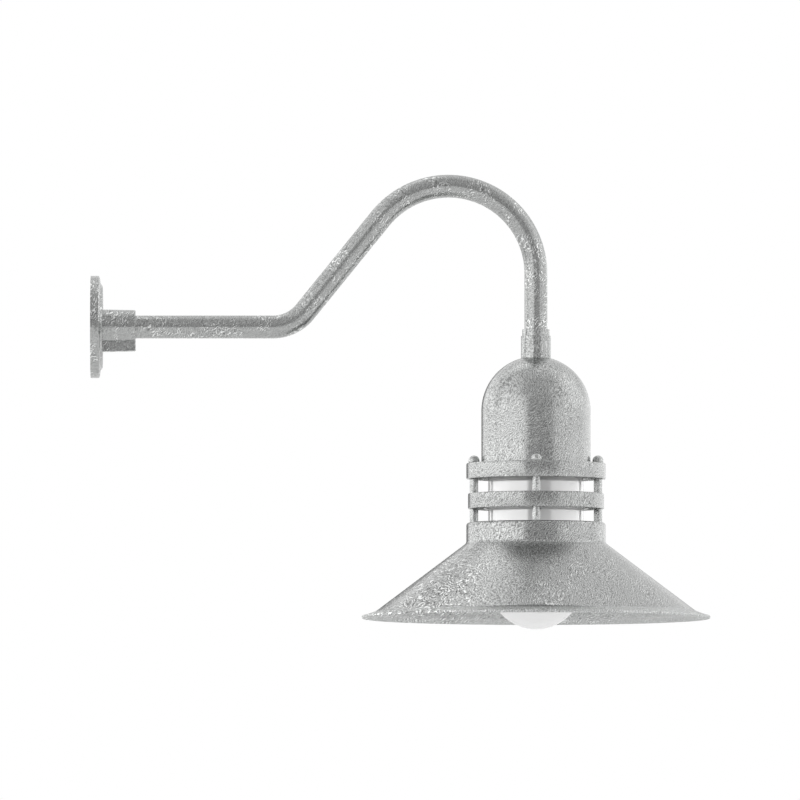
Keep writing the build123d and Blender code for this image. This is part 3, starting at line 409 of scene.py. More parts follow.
def curls(kit, place, pitch, bends):
    """A bent wave from -1 to 1. The pitch from crest to crest is in millimetres, and bends is how
    many bends each crest gets."""
    crests = 1.0 / (pitch * MM)
    sweep = kit.vector("MULTIPLY", kit.noise(place, SWEEP_RATE, out="Color"), SWEEP)
    along = kit.vector("DOT_PRODUCT", kit.vector("ADD", place, sweep), WAVE_RUN)
    bend = kit.noise(place, bends * crests, distortion=BEND_DISTORTION)
    turns = along * crests + bend * BEND_TURNS
    return kit.math("SINE", turns * (2.0 * math.pi))


print("curls: swept by up to", round(SWEEP[0] / MM), "mm")

# %% [markdown]
# The shade is spun from sheet and came out of the zinc differently from the cast pieces. Its
# strokes lie on the cone alone and are strongest on the wall's side. Its rim is less shiny, and it
# is painted lighter, a painted highlight that stands in for light on the lip. Two masks say where
# that is.

# %% Masks of the shade
CONE_EDGE = (0.085, 0.110)
RIM_EDGE = (0.184, 0.196)
WALL_SIDE_EDGE = (0.47, 0.39)
ALL_ROUND = 0.35
LEVEL = (1.0, 1.0, 0.0)
ALONG_X = (1.0, 0.0, 0.0)


def shade_masks(kit, place, patch):
    """Where the shade's strokes are, from patches all over it, and where its rim is."""
    away = kit.vector("DISTANCE", kit.vector("MULTIPLY", place, LEVEL), HEAD_AXIS)
    wall_side = kit.step(kit.vector("DOT_PRODUCT", place, ALONG_X), *WALL_SIDE_EDGE)
    patch = ALL_ROUND * patch + (1.0 - ALL_ROUND) * wall_side
    return patch * kit.step(away, *CONE_EDGE), kit.step(away, *RIM_EDGE)


print("rim mask from", RIM_EDGE[0], "m")

# %% [markdown]
# The strokes are the crests of a coarser wave, cut short by a noise and gathered into patches by
# another. Between two crests the metal is a little darker. The same signals drive the colour, the
# roughness and a very small bump.

# %% Galvanised metal
GRAIN_RATE = 900.0
FINE_PITCH = 2.2
FINE_BENDS = 0.50
CAST_BENDS, CAST_CUTS = 0.56, 0.90
SPUN_BENDS, SPUN_CUTS = 0.34, 0.48
SPUN_SHIFT = (0.53, 0.30, 0.020)
PATCH_EDGE = (0.44, 0.57)
CUT_EDGE = (0.46, 0.54)
CREST_EDGE = (0.40, 0.95)
TROUGH_EDGE = (-0.45, -0.95)
TROUGH_SHARE = 0.25
# The rim's lift below is a painted highlight: lighter colour that stands in for light on the lip.
RIM_PAINTED_LIGHT, PATCH_DARKER = 0.08, 0.06
ROUGH, ROUGH_GRAIN, ROUGH_STROKES, ROUGH_RIM = 0.22, 0.12, 0.08, 0.30
BUMP_STRENGTH, BUMP_HEIGHT = 0.35, 0.15
BUMP_GRAIN, BUMP_STROKES = 0.5, 0.5
BLACK = (0.0, 0.0, 0.0, 1.0)
BRIGHT_ZINC = (0.985, 1.0, 0.99, 1.0)


def galvanised(name, base, grain, fine, strokes, pitch, patches, spun=False):
    """Galvanised finish. base is the metal's brightness, and grain, fine and strokes say how strong
    the grain, the faint curls and the strokes are. pitch is the strokes' spacing and patches the
    size of their patches, in millimetres. spun is true for the shade alone."""
    material, kit, shader, place = new_material(name)
    moved = kit.vector("ADD", place, SPUN_SHIFT) if spun else place
    bends, cuts = (SPUN_BENDS, SPUN_CUTS) if spun else (CAST_BENDS, CAST_CUTS)
    speck = kit.noise(moved, GRAIN_RATE) - 0.5
    patch = kit.step(kit.noise(moved, 1.0 / (patches * MM), detail=1.0), *PATCH_EDGE)
    if spun:
        patch, rim = shade_masks(kit, place, patch)
    wave = curls(kit, moved, pitch, bends)
    shown = kit.step(kit.noise(moved, cuts / (pitch * MM)), *CUT_EDGE) * patch
    bright = kit.step(wave, *CREST_EDGE) * shown
    dark = kit.step(wave, *TROUGH_EDGE) * shown
    tone = base + grain * speck + fine * curls(kit, moved, FINE_PITCH, FINE_BENDS)
    tone = tone + strokes * bright - TROUGH_SHARE * strokes * dark
    rough = ROUGH + ROUGH_GRAIN * speck + ROUGH_STROKES * bright
    if spun:
        # Painted highlight: the rim's colour is lifted to stand in for light on the lip, and the rim is
        # also rougher.
        tone = tone + RIM_PAINTED_LIGHT * rim - PATCH_DARKER * patch
        rough = rough + ROUGH_RIM * rim
    relief = BUMP_GRAIN * speck + BUMP_STROKES * bright
    uneven = bump(kit, relief, BUMP_STRENGTH, BUMP_HEIGHT * MM)
    colour = kit.blend(tone, BLACK, BRIGHT_ZINC)
    set_up(kit, shader, Base_Color=colour, Metallic=1.0, Roughness=rough, Normal=uneven)
    return material


print("galvanised: fine curls every", FINE_PITCH, "mm")

# %% [markdown]
# The pipe, the head, its ring, the posts and the shade each have their own numbers: the pipe has
# the smallest patches, the ring is a little darker than the head, and the shade has the strongest
# strokes. The posts are painted lighter than the head, as painted light that stands in for light
# on them between the rings.

# %% Finishes of the large pieces
PIPE_LOOK = {"grain": 0.42, "fine": 0.09, "strokes": 0.54, "pitch": 3.2, "patches": 24.0}
HEAD_LOOK = {"grain": 0.54, "fine": 0.15, "strokes": 0.16, "pitch": 2.8, "patches": 60.0}
POST_LOOK = {"grain": 0.48, "fine": 0.11, "strokes": 0.14, "pitch": 2.8, "patches": 60.0}
SHADE_LOOK = {"grain": 0.58, "fine": 0.17, "strokes": 1.05, "pitch": 2.7, "patches": 90.0}

arm_finish = galvanised("galvanised_pipe", base=0.455, **PIPE_LOOK)
head_finish = galvanised("galvanised_head", base=0.485, **HEAD_LOOK)
ring_finish = galvanised("galvanised_ring", base=0.45, **HEAD_LOOK)
# Painted light: the posts' base of 0.58, lighter than the head's, stands in for light on them.
post_finish_painted_light = galvanised("galvanised_posts_painted_light", base=0.58, **POST_LOOK)
shade_finish = galvanised("galvanised_shade", base=0.465, spun=True, **SHADE_LOOK)
print("galvanised finishes: 5, of", len(shade_finish.node_tree.nodes), "nodes at most")

# %% [markdown]
# ## The small parts' finishes
#
# Zinc plate on the fasteners, rubber, nylon, porcelain, brass, and the wires' coverings. Each has
# one colour that a fine and a broad noise vary a little, a roughness of its own and an uneven skin.
# Only the porcelain has a clear coat over it, which is its glaze.

# %% Plain finishes
BROAD_RATIO = 12.0
FINE_COLOUR, BROAD_COLOUR = 1.2, 0.8
FINE_ROUGH, BROAD_ROUGH = 0.16, 0.10


def plain(name, colour, rough, scale, spread, metal=0.0, lift=0.1, coat=0.0):
    """A finish of one colour. scale is the fine noise's, spread how far the colour varies, and lift
    the height of the uneven skin in millimetres."""
    material, kit, shader, place = new_material(name)
    skin = kit.noise(place, scale, detail=2.0, rough=0.6)
    fine = skin - 0.5
    broad = kit.noise(place, scale / BROAD_RATIO, detail=1.0) - 0.5
    dark = tuple(channel * (1.0 - spread) for channel in colour) + (1.0,)
    light = tuple(min(1.0, channel * (1.0 + spread)) for channel in colour) + (1.0,)
    mixed = kit.blend(0.5 + FINE_COLOUR * fine + BROAD_COLOUR * broad, dark, light)
    rough = rough + FINE_ROUGH * fine + BROAD_ROUGH * broad
    set_up(kit, shader, Base_Color=mixed, Metallic=metal, Roughness=rough, Coat_Weight=coat)
    set_up(kit, shader, Normal=bump(kit, skin, BUMP_STRENGTH, lift * MM))
    return material


zinc = plain("zinc_plate", (0.56, 0.57, 0.55), 0.30, scale=420.0, spread=0.14, metal=1.0)
brass = plain("contact_brass", (0.78, 0.58, 0.25), 0.30, scale=420.0, spread=0.12, metal=1.0)
bulb_cap = plain("bulb_cap", (0.80, 0.80, 0.78), 0.28, scale=420.0, spread=0.08, metal=1.0)
green_paint = plain("ground_green", (0.05, 0.26, 0.10), 0.38, scale=380.0, spread=0.12, metal=0.6)
rubber = plain("gasket_rubber", (0.022, 0.022, 0.023), 0.72, scale=600.0, spread=0.20)
nylon = plain("bushing_nylon", (0.035, 0.035, 0.037), 0.42, scale=350.0, spread=0.12)
wire_black = plain("lead_black", (0.018, 0.018, 0.018), 0.45, scale=500.0, spread=0.15)
wire_white = plain("lead_white", (0.74, 0.74, 0.71), 0.42, scale=500.0, spread=0.06)
wire_green = plain("lead_green", (0.03, 0.24, 0.08), 0.42, scale=500.0, spread=0.12)
bulb_black = plain("bulb_insulator", (0.02, 0.02, 0.022), 0.25, scale=300.0, spread=0.10)
bulb_frost = plain("bulb_frost", (0.88, 0.88, 0.87), 0.38, scale=260.0, spread=0.02)
glaze = {"scale": 140.0, "spread": 0.03, "lift": 0.2, "coat": 0.6}
porcelain = plain("socket_porcelain", (0.84, 0.83, 0.79), 0.22, **glaze)
print("plain finishes: 12")

# %% [markdown]
# ## Opal glass
#
# The jar is blown white glass. It is white right through, and its skin is smooth with faint waves
# from the mould, so it needs a white body with a slight cloud, a polished skin that reflects the
# room strongly, and a long, very low bump.

# %% Opal glass
WAVE_RATE = 24.0
CLOUD_RATE = 9.0
OPAL_DARK = (0.80, 0.80, 0.80, 1.0)
OPAL_LIGHT = (0.86, 0.86, 0.855, 1.0)
OPAL_ROUGH, OPAL_ROUGH_WAVES = 0.12, 0.08
RIPPLE_STRENGTH, RIPPLE_HEIGHT = 0.12, 0.6

opal, kit, shader, place = new_material("opal_glass")
waves = kit.noise(place, WAVE_RATE, detail=1.0, rough=0.4)
cloud = kit.noise(place, CLOUD_RATE, detail=2.0)
body_white = kit.blend(cloud, OPAL_DARK, OPAL_LIGHT)
opal_rough = OPAL_ROUGH + OPAL_ROUGH_WAVES * (waves - 0.5)
ripple = bump(kit, waves, RIPPLE_STRENGTH, RIPPLE_HEIGHT * MM)
set_up(kit, shader, Base_Color=body_white, Roughness=opal_rough, Normal=ripple)
set_up(kit, shader, Coat_Weight=1.0, Coat_Roughness=0.03, Coat_IOR=4.0, IOR=2.6)
print("opal glass:", len(opal.node_tree.nodes), "nodes")

# %% [markdown]
# ## Parts that every tree shares
#
# The pieces made here come from three Geometry Nodes trees. All three start from named inputs,
# round the corners of a chain by the radius that each corner carries, and end with real geometry
# that has its finish.

# %% Helpers for trees
ROUNDING_STEPS = 6


def new_group(name, **kinds):
    """A Geometry Nodes group with one output. It gives the group's kit and its inputs. A name's
    underscore stands for a space."""
    tree = bpy.data.node_groups.new(name, "GeometryNodeTree")
    for label, kind in kinds.items():
        socket_type = "NodeSocket" + kind
        tree.interface.new_socket(name=label.replace("_", " "), in_out="INPUT", socket_type=socket_type)
    tree.interface.new_socket(name="Piece", in_out="OUTPUT", socket_type="NodeSocketGeometry")
    kit = Kit(tree)
    given = kit.node("NodeGroupInput")
    return kit, [given.output(index) for index in range(len(kinds))]


def rounded_chain(kit, chain, steps, limited):
    """The chain as a curve with rounded corners. Limited ones never reach past half an edge."""
    curve = kit.node("GeometryNodeMeshToCurve", {}, {"Mesh": chain})
    radius = kit.node("GeometryNodeInputNamedAttribute", {"data_type": "FLOAT"}, {"Name": "rounding"})
    sockets = {"Curve": curve, "Count": steps, "Radius": radius, "Limit Radius": limited}
    return kit.node("GeometryNodeFilletCurve", {"mode": "POLY"}, sockets)


def close_group(kit, geometry, finish):
    """Ends a tree: its instances are made real and its faces get their finish."""
    real = kit.node("GeometryNodeRealizeInstances", {}, {"Geometry": geometry})
    painted = kit.node("GeometryNodeSetMaterial", {}, {"Geometry": real, "Material": finish})
    kit.node("NodeGroupOutput", {}, {0: painted})
    return kit.tree


print("tree helpers ready")

# %% [markdown]
# ## A tree that turns a profile
#
# Spun metal, cast rings and blown jars are all one outline turned about a line. The tree takes the
# outline as a chain of corners, rounds them, and lays a grid over it whose rows go round the line.
# Sharp corners stay where the outline has them, which a resampled curve wouldn't keep. A grid would
# leave a seam and holes at the poles, so its doubles are merged.

# %% Turning tree
MERGE_DISTANCE = 0.000002


def turning_tree():
    """Geometry Nodes group that turns a corner chain in the XZ plane about an upright line."""
    kit, inputs = new_group(
        "turned_piece",
        Outline="Geometry",
        Axis="Vector",
        Segments="Int",
        Rounding_steps="Int",
        Closed="Bool",
        Finish="Material",
    )
    outline, axis, segments, steps, closed, finish = inputs
    rounded = rounded_chain(kit, outline, steps, True)
    count = kit.node("GeometryNodeAttributeDomainSize", {"component": "CURVE"}, {"Geometry": rounded})
    columns = segments + 1.0
    sockets = {"Size X": 1.0, "Size Y": 1.0, "Vertices X": count + closed, "Vertices Y": columns}
    grid = kit.node("GeometryNodeMeshGrid", {}, sockets)
    index = kit.node("GeometryNodeInputIndex")
    row = kit.math("FLOOR", index / columns)
    column = index - row * columns
    turn = column / segments * (2.0 * math.pi)
    settings = {"data_type": "FLOAT_VECTOR", "domain": "POINT"}
    sockets = {"Geometry": rounded, "Value": kit.node("GeometryNodeInputPosition")}
    sockets["Index"] = kit.math("FLOORED_MODULO", row, count)
    corner = kit.node("GeometryNodeSampleIndex", settings, sockets)
    radius = kit.node("ShaderNodeSeparateXYZ", {}, {0: corner})
    flat_x = radius * kit.math("COSINE", turn)
    flat_y = radius * kit.math("SINE", turn)
    turned_corner = kit.node("ShaderNodeCombineXYZ", {}, {0: flat_x, 1: flat_y, 2: radius.output(2)})
    sockets = {"Geometry": grid, "Position": kit.vector("ADD", turned_corner, axis)}
    shaped = kit.node("GeometryNodeSetPosition", {}, sockets)
    sockets = {"Geometry": shaped, "Distance": MERGE_DISTANCE}
    return close_group(kit, kit.node("GeometryNodeMergeByDistance", {}, sockets), finish)


turned_piece = turning_tree()
print("turning tree:", len(turned_piece.nodes), "nodes")

# %% [markdown]
# ## Running a tree
#
# A tree runs as a modifier on a source mesh. The values go to the modifier by the identifiers of
# the inputs, and the result is copied into a plain mesh, because a joint can only move a mesh that
# is finished. Then slivers go, the faces are turned outwards, and edges over 35 degrees stay sharp.

# %% Running a tree
SLIVER = 1e-7
SHARP_ANGLE = math.radians(35.0)


def identifier(tree, name):
    """The identifier of a group's input."""
    for item in tree.interface.items_tree:
        if item.item_type == "SOCKET" and item.in_out == "INPUT" and item.name == name:
            return item.identifier
    raise KeyError(name)


def edit_mesh(mesh, change):
    """Changes a mesh, then turns its faces outwards and shades it."""
    work = bmesh.new()
    work.from_mesh(mesh)
    change(work)
    bmesh.ops.recalc_face_normals(work, faces=work.faces)
    work.to_mesh(mesh)
    work.free()
    mesh.shade_smooth()
    mesh.set_sharp_from_angle(angle=SHARP_ANGLE)


def drop_slivers(work):
    bmesh.ops.dissolve_degenerate(work, dist=SLIVER, edges=work.edges)


def run_tree(name, source, tree, values):
    """Runs a tree on a source mesh and leaves a plain mesh object."""
    piece = bpy.data.objects.new(name, source)
    bpy.context.scene.collection.objects.link(piece)
    modifier = piece.modifiers.new("tree", "NODES")
    modifier.node_group = tree
    for key, value in values.items():
        modifier[identifier(tree, key)] = value
    piece.update_tag()
    bpy.context.view_layer.update()
    evaluated = piece.evaluated_get(bpy.context.evaluated_depsgraph_get())
    mesh = bpy.data.meshes.new_from_object(evaluated)
    piece.modifiers.remove(modifier)
    piece.data = mesh
    mesh.name = name
    edit_mesh(mesh, drop_slivers)
    return piece


print("ready to run", turned_piece.name)

# %% [markdown]
# ## Outlines
#
# An outline is a list of corners, each with its radius from the axis, its height and its rounding.
# Curves that are too large for a rounded corner, such as a dome, are written as points of an arc.

# %% Outlines
def corner_chain(name, corners, closed=True):
    """A chain of edges in the XZ plane from (radius, height, rounding) corners in millimetres."""
    mesh = bpy.data.meshes.new(name)
    points = [(radius * MM, 0.0, height * MM) for radius, height, _ in corners]
    edges = [(k, k + 1) for k in range(len(points) - 1)]
    if closed:
        edges.append((len(points) - 1, 0))
    mesh.from_pydata(points, edges, [])
    rounding = mesh.attributes.new("rounding", "FLOAT", "POINT")
    for k, (_, _, radius) in enumerate(corners):
        rounding.data[k].value = radius * MM
    return mesh


def arc(centre_radius, centre_z, radius, first, last, steps):
    """Corners on an arc between two angles, in degrees up from the horizontal."""
    turns = [math.radians(first + (last - first) * k / steps) for k in range(steps + 1)]
    return [(centre_radius + radius * math.cos(t), centre_z + radius * math.sin(t), 0.0) for t in turns]


def turned(name, corners, finish, segments=192, steps=ROUNDING_STEPS, closed=True):
    """One turned piece of the head."""
    values = {"Axis": HEAD_AXIS, "Segments": segments, "Rounding steps": steps}
    values.update({"Closed": closed, "Finish": finish})
    return run_tree(name, corner_chain(name + "_outline", corners, closed), turned_piece, values)


def report(piece, node):
    """Prints a piece's faces, and how far its box is from the node that it stands for."""
    low = Vector([min(v.co[axis] for v in piece.data.vertices) for axis in range(3)])
    high = Vector([max(v.co[axis] for v in piece.data.vertices) for axis in range(3)])
    cad_low, cad_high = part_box(node)
    off = max((low - cad_low).length, (high - cad_high).length) / MM
    print(f"{piece.name}: {len(piece.data.polygons)} faces, box {off:.2f} mm from {node}")


print("a quarter arc of radius 10:", len(arc(0.0, 0.0, 10.0, 0.0, 90.0, ROUNDING_STEPS)), "corners")

# %% [markdown]
# ## The housing
#
# The housing is a spun dome with a straight skirt and a flange that carries the cage. Its dome is
# nearly a quarter circle, so it is an arc, and only the flange and the skirt have corners. The
# outline runs down the outside and back up the inside.

# %% Housing
HOUSING_RADIUS = 63.65
HOUSING_WALL = 2.5
DOME_CENTRE_Z = -97.9
DOME_TOP_RADIUS = 18.0
DOME_STEPS = 40
COLLAR_BORE = 13.335
FLANGE_Z = -159.1
FLANGE_WALL = 3.0
CAGE_RADIUS = 81.2
SKIRT_BOTTOM_Z = -177.4


def dome(radius, top_radius):
    """Corners of the dome's section, from its flat top out to its widest place."""
    first = math.degrees(math.acos(top_radius / radius))
    return arc(0.0, DOME_CENTRE_Z, radius, first, 0.0, DOME_STEPS)


dome_top_z = DOME_CENTRE_Z + math.sqrt(HOUSING_RADIUS**2 - DOME_TOP_RADIUS**2)
inner_radius = HOUSING_RADIUS - HOUSING_WALL
inner_top_z = dome_top_z - HOUSING_WALL
inner_flat = math.sqrt(inner_radius**2 - (inner_top_z - DOME_CENTRE_Z) ** 2)
housing_corners = [
    (COLLAR_BORE, dome_top_z, 0.0),
    *dome(HOUSING_RADIUS, DOME_TOP_RADIUS),
    (HOUSING_RADIUS, FLANGE_Z, 1.6),
    (CAGE_RADIUS, FLANGE_Z, 1.6),
    (CAGE_RADIUS, SKIRT_BOTTOM_Z, 0.6),
    (CAGE_RADIUS - FLANGE_WALL, SKIRT_BOTTOM_Z, 0.6),
    (CAGE_RADIUS - FLANGE_WALL, FLANGE_Z - FLANGE_WALL, 0.0),
    (inner_radius, FLANGE_Z - FLANGE_WALL, 0.0),
    *reversed(dome(inner_radius, inner_flat)),
    (COLLAR_BORE, inner_top_z, 0.0),
]
housing = turned("housing_shell", housing_corners, head_finish)
report(housing, "housing")

# %% [markdown]
# ## The middle ring
#
# The middle ring is cast with an open channel below, so that it is light, and its top edge is
# rounded where the mould parts.

# %% Middle ring
RING_TOP_Z = -194.4
RING_BOTTOM_Z = -212.2
RING_RADIUS = 79.2
RING_INNER = 58.6
RING_WALL = 3.0
RING_INNER_WALL = 2.6

ring_corners = [
    (RING_INNER, RING_BOTTOM_Z, 0.5),
    (RING_INNER + RING_INNER_WALL, RING_BOTTOM_Z, 0.5),
    (RING_INNER + RING_INNER_WALL, RING_TOP_Z - RING_WALL, 1.0),
    (RING_RADIUS - RING_WALL, RING_TOP_Z - RING_WALL, 1.0),
    (RING_RADIUS - RING_WALL, RING_BOTTOM_Z, 0.5),
    (RING_RADIUS, RING_BOTTOM_Z, 0.5),
    (RING_RADIUS, RING_TOP_Z, 1.2),
    (RING_INNER, RING_TOP_Z, 1.0),
]
middle_ring = turned("middle_ring_casting", ring_corners, ring_finish)
report(middle_ring, "middle_ring")

# %% [markdown]
# ## The shade
#
# The shade is one spun sheet, 2 mm thick: a flat top, a short neck, a long cone and a flared lip
# with a rolled edge. Its outline runs down the outside and back up the inside, and the roll is an
# arc between the two. The slopes are worked out first, so that the inside stays 2 mm from the
# outside.

# %% Slopes of the shade
SHADE_WALL = 2.0
SHADE_TOP_Z = -228.4
SHADE_OPENING = 59.5
NECK_BOTTOM_Z = -252.3
CONE_END_RADIUS = 186.8
CONE_END_Z = -331.8
LIP_RADIUS = 203.2
LIP_Z = -337.4
ROLL_RADIUS = 1.9

roll_middle = LIP_RADIUS - ROLL_RADIUS
cone_slope = math.atan2(NECK_BOTTOM_Z - CONE_END_Z, CONE_END_RADIUS - CAGE_RADIUS)
lip_slope = math.atan2(CONE_END_Z - LIP_Z, roll_middle - CONE_END_RADIUS)
half = (cone_slope + lip_slope) / 2
spread = SHADE_WALL / math.cos((cone_slope - lip_slope) / 2)
print("cone:", round(math.degrees(cone_slope), 1), "lip:", round(math.degrees(lip_slope), 1), "degrees")

# %% Shade
ROLL_FIRST = 110.0
ROLL_LAST = -140.0
ROLL_STEPS = 12

inner_neck = CAGE_RADIUS - SHADE_WALL
inner_neck_z = NECK_BOTTOM_Z - SHADE_WALL * math.tan(math.pi / 4 - cone_slope / 2)
roll_z = LIP_Z - SHADE_WALL * math.cos(lip_slope) / 2
shade_corners = [
    (SHADE_OPENING, SHADE_TOP_Z, 0.4),
    (CAGE_RADIUS, SHADE_TOP_Z, 3.4),
    (CAGE_RADIUS, NECK_BOTTOM_Z, 5.0),
    (CONE_END_RADIUS, CONE_END_Z, 20.0),
    *arc(roll_middle, roll_z, ROLL_RADIUS, ROLL_FIRST, ROLL_LAST, ROLL_STEPS),
    (CONE_END_RADIUS - spread * math.sin(half), CONE_END_Z - spread * math.cos(half), 22.0),
    (inner_neck, inner_neck_z, 7.0),
    (inner_neck, SHADE_TOP_Z - SHADE_WALL, 1.4),
    (SHADE_OPENING, SHADE_TOP_Z - SHADE_WALL, 0.4),
]
shade = turned("shade_spinning", shade_corners, shade_finish, segments=256, steps=8)
report(shade, "shade")

# %% [markdown]
# ## The jar
#
# The glass is turned too, but its outline starts and ends on the axis at the bottom, so it is an
# open chain and the tree closes the poles by merging. Two round beads at the neck are its thread.

# %% Jar
GLASS_RADIUS = 55.5
GLASS_WALL = 4.0
GLASS_BOTTOM_Z = -352.6
GLASS_SHOULDER_Z = -168.4
GLASS_MOUTH_Z = -149.4
GLASS_NECK = 49.0
BEAD_RADIUS = 0.8
BEAD_STEPS = 6
THREAD_PITCH = 6.35
THREAD_START = 0.75

ball_z = GLASS_BOTTOM_Z + GLASS_RADIUS
glass_inner = GLASS_RADIUS - GLASS_WALL
neck_inner = GLASS_NECK - GLASS_WALL
beads_z = [GLASS_MOUTH_Z - THREAD_PITCH * (turn + THREAD_START) for turn in (1, 0)]
jar_corners = [
    *arc(0.0, ball_z, GLASS_RADIUS, -90.0, 0.0, DOME_STEPS),
    (GLASS_RADIUS, GLASS_SHOULDER_Z, 5.0),
    (GLASS_NECK, GLASS_SHOULDER_Z, 0.5),
    *arc(GLASS_NECK, beads_z[0], BEAD_RADIUS, -90.0, 90.0, BEAD_STEPS),
    *arc(GLASS_NECK, beads_z[1], BEAD_RADIUS, -90.0, 90.0, BEAD_STEPS),
    (GLASS_NECK, GLASS_MOUTH_Z, 1.2),
    (neck_inner, GLASS_MOUTH_Z, 1.2),
    (neck_inner, GLASS_SHOULDER_Z - GLASS_WALL, 1.2),
    (glass_inner, GLASS_SHOULDER_Z - GLASS_WALL, 2.5),
    *arc(0.0, ball_z, glass_inner, 0.0, -90.0, DOME_STEPS),
]
jar = turned("jar_glass", jar_corners, opal, segments=160, closed=False)
report(jar, "glass_jar")

# %% [markdown]
# ## The gooseneck
#
# The arm is one pipe bent twice. The tree takes the corners of its centre line and the radius of
# each bend, rounds them, and sweeps two circles along the result, the outside and the bore.

# %% Pipe tree
def pipe_tree():
    """Geometry Nodes group that bends a pipe along a corner chain."""
    kit, inputs = new_group(
        "bent_pipe",
        Centre_line="Geometry",
        Radius="Float",
        Bore="Float",
        Sides="Int",
        Bend_steps="Int",
        Finish="Material",
    )
    line, radius, bore, sides, steps, finish = inputs
    bent = rounded_chain(kit, line, steps, False)
    walls = []
    for size in (radius, bore):
        sockets = {"Resolution": sides, "Radius": size}
        ring = kit.node("GeometryNodeCurvePrimitiveCircle", {"mode": "RADIUS"}, sockets)
        walls.append(kit.node("GeometryNodeCurveToMesh", {}, {"Curve": bent, "Profile Curve": ring}))
    return close_group(kit, kit.node("GeometryNodeJoinGeometry", {}, {0: walls}), finish)


bent_pipe = pipe_tree()
print("pipe tree:", len(bent_pipe.nodes), "nodes")

# %% [markdown]
# The big arc over the top ends in the drop to the head, and its other end runs straight down the
# slant to the level run. So the two corners of the centre line are where those straights meet. The
# swept circles are open at their ends, and a flat ring closes each, so that it is a real pipe.

# %% Gooseneck
PIPE_RADIUS = 13.335
PIPE_BORE = 10.465
PIPE_SIDES = 96
BEND_STEPS = 48
ARM_INLET_X = 12.5
ARM_END_Z = -19.0
ARC_CENTRE_Z = 62.4
ARC_RADIUS = 102.0
BEND_RADIUS = 48.0
SLANT = math.radians(51.05)


def close_ends(work):
    """Joins the outside to the bore at each end of the pipe."""
    open_edges = [edge for edge in work.edges if edge.is_boundary]
    inlet_edges = [edge for edge in open_edges if edge.verts[0].co.x < 2 * ARM_INLET_X * MM]
    outlet_edges = [edge for edge in open_edges if edge not in inlet_edges]
    for ring_edges in (inlet_edges, outlet_edges):
        bmesh.ops.bridge_loops(work, edges=ring_edges)


touch_x = HEAD_X - ARC_RADIUS - ARC_RADIUS * math.sin(SLANT)
touch_z = ARC_CENTRE_Z + ARC_RADIUS * math.cos(SLANT)
foot_x = touch_x - touch_z / math.tan(SLANT)
crown_z = (HEAD_X - foot_x) * math.tan(SLANT)
arm_corners = [
    (ARM_INLET_X, 0.0, 0.0),
    (foot_x, 0.0, BEND_RADIUS),
    (HEAD_X, crown_z, ARC_RADIUS),
    (HEAD_X, ARM_END_Z, 0.0),
]
values = {"Radius": PIPE_RADIUS * MM, "Bore": PIPE_BORE * MM, "Sides": PIPE_SIDES}
values.update({"Bend steps": BEND_STEPS, "Finish": arm_finish})
arm = run_tree("gooseneck_pipe", corner_chain("arm_line", arm_corners, closed=False), bent_pipe, values)
edit_mesh(arm.data, close_ends)
report(arm, "gooseneck_arm")

# %% [markdown]
# ## Posts and ball nuts
#
# Four posts stand at quarter turns round the jar. Each is a tie rod with two spacer tubes over it
# and a ball nut on top. One tree turns a small outline and sets it at every post, so a change to
# one post changes all of them.

# %% Post tree
def post_tree():
    """Geometry Nodes group that sets a turned outline at equal turns round the head."""
    kit, inputs = new_group(
        "at_posts",
        Outline="Geometry",
        Axis="Vector",
        Circle="Float",
        Posts="Int",
        Segments="Int",
        Finish="Material",
    )
    outline, axis, circle, posts, segments, finish = inputs
    sockets = {"Outline": outline, "Segments": segments, "Rounding steps": ROUNDING_STEPS}
    sockets.update({"Closed": True, "Finish": finish})
    one = kit.node("GeometryNodeGroup", {"node_tree": turned_piece}, sockets)
    ring = kit.node("GeometryNodeMeshCircle", {}, {"Vertices": posts, "Radius": circle})
    placed = kit.node("GeometryNodeTransform", {}, {"Geometry": ring, "Translation": axis})
    copies = kit.node("GeometryNodeInstanceOnPoints", {}, {"Points": placed, "Instance": one})
    return close_group(kit, copies, finish)


at_posts = post_tree()
print("post tree:", len(at_posts.nodes), "nodes")

# %% [markdown]
# The spacers are plain tubes with eased ends, from the glass holder to the ring and from the ring
# to the shade, and they are a little wider inside than the rods.

# %% Spacers
POSTS = 4
POST_SEGMENTS = 48
TIE_CIRCLE = 72.2
TIE_HOLE = 3.3
SPACER_RADIUS = 4.95
SPACER_ROUNDING = 0.3
HOLDER_BOTTOM_Z = -166.1


def at_every_post(name, corners):
    """Turned pieces, one at each post."""
    values = {"Axis": HEAD_AXIS, "Circle": TIE_CIRCLE * MM, "Posts": POSTS, "Segments": POST_SEGMENTS}
    values["Finish"] = post_finish_painted_light
    return run_tree(name, corner_chain(name + "_outline", corners), at_posts, values)


def spacer(top, bottom):
    """Corners of a spacer tube between two heights."""
    outside = [(SPACER_RADIUS, bottom, SPACER_ROUNDING), (SPACER_RADIUS, top, SPACER_ROUNDING)]
    return [(TIE_HOLE, bottom, 0.0), *outside, (TIE_HOLE, top, 0.0)]


upper_spacers = at_every_post("upper_posts", spacer(HOLDER_BOTTOM_Z, RING_TOP_Z))
lower_spacers = at_every_post("lower_posts", spacer(RING_BOTTOM_Z, SHADE_TOP_Z))
report(upper_spacers, "upper_spacers")
report(lower_spacers, "lower_spacers")

# %% [markdown]
# A ball nut is a ball with a flat foot and a blind hole for the rod, so its outline is an arc from
# the foot to the top, and then the hole.

# %% Ball nuts
BALL_RADIUS = 6.45
BALL_HEIGHT = 9.3
BALL_STEPS = 24
BALL_HOLE = 3.0
BALL_HOLE_DEPTH = 5.0

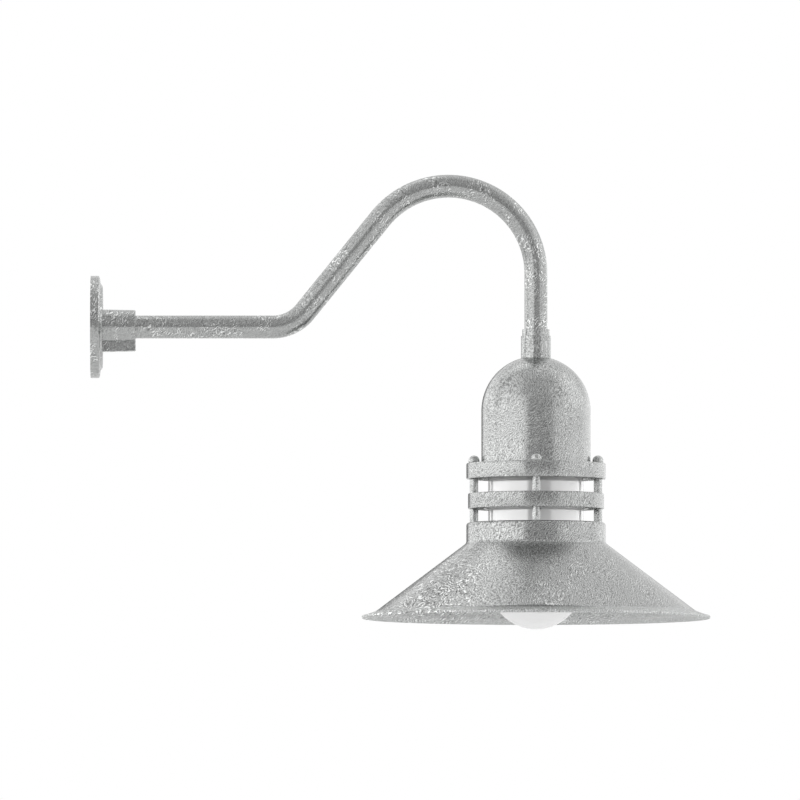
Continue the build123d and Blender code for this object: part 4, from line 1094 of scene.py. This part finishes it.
ball_middle = FLANGE_Z + BALL_HEIGHT - BALL_RADIUS
ball_foot = math.degrees(math.asin((FLANGE_Z - ball_middle) / BALL_RADIUS))
ball_corners = [
    (BALL_HOLE, FLANGE_Z, 0.0),
    *arc(0.0, ball_middle, BALL_RADIUS, ball_foot, 90.0, BALL_STEPS),
    (0.0, FLANGE_Z + BALL_HOLE_DEPTH, 0.0),
    (BALL_HOLE, FLANGE_Z + BALL_HOLE_DEPTH, 0.0),
]
ball_nuts = at_every_post("ball_nut_set", ball_corners)
report(ball_nuts, "ball_nuts")

# %% [markdown]
# ## Dressing the CAD nodes
#
# The wall plate, the collar and all the small parts have the right shape already, so they keep
# their CAD meshes and take a finish made above.

# %% Finishes on CAD nodes
finish_of = {
    "wall_plate": arm_finish,
    "collar": head_finish,
    "glass_holder": head_finish,
    "wall_gasket": rubber,
    "glass_gasket": rubber,
    "hub_set_screws": zinc,
    "collar_set_screw": zinc,
    "nipple": zinc,
    "nipple_washer": zinc,
    "nipple_locknut": zinc,
    "tie_rods": zinc,
    "lower_washers": zinc,
    "lower_nuts": zinc,
    "socket_bracket": zinc,
    "socket_screws": zinc,
    "ground_screw": green_paint,
    "arm_bushing": nylon,
    "line_lead": wire_black,
    "neutral_lead": wire_white,
    "ground_lead": wire_green,
    "socket_body": porcelain,
    "socket_shell": brass,
    "socket_contact": brass,
    "bulb_base": bulb_cap,
    "bulb_insulator": bulb_black,
    "bulb_tip": brass,
    "bulb_glass": bulb_frost,
}
for node, material in finish_of.items():
    mesh = nodes[node].data
    for index in range(len(mesh.materials)):
        mesh.materials[index] = material
print("finishes on", len(finish_of), "CAD nodes")

# %% [markdown]
# ## Riding on the bodies
#
# Every piece made here moves with the body of the node that it stands for, and that node is hidden.

# %% Bodies
made = [
    (housing, "housing", "head", "galvanised"),
    (middle_ring, "middle_ring", "head", "galvanised"),
    (shade, "shade", "head", "galvanised"),
    (upper_spacers, "upper_spacers", "head", "galvanised"),
    (lower_spacers, "lower_spacers", "head", "galvanised"),
    (ball_nuts, "ball_nuts", "head", "galvanised"),
    (jar, "glass_jar", "jar", "opal_glass"),
    (arm, "gooseneck_arm", "arm", "galvanised"),
]
for piece, node, body, slot in made:
    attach(piece, body)
    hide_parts(node)
print("pieces made:", len(made))
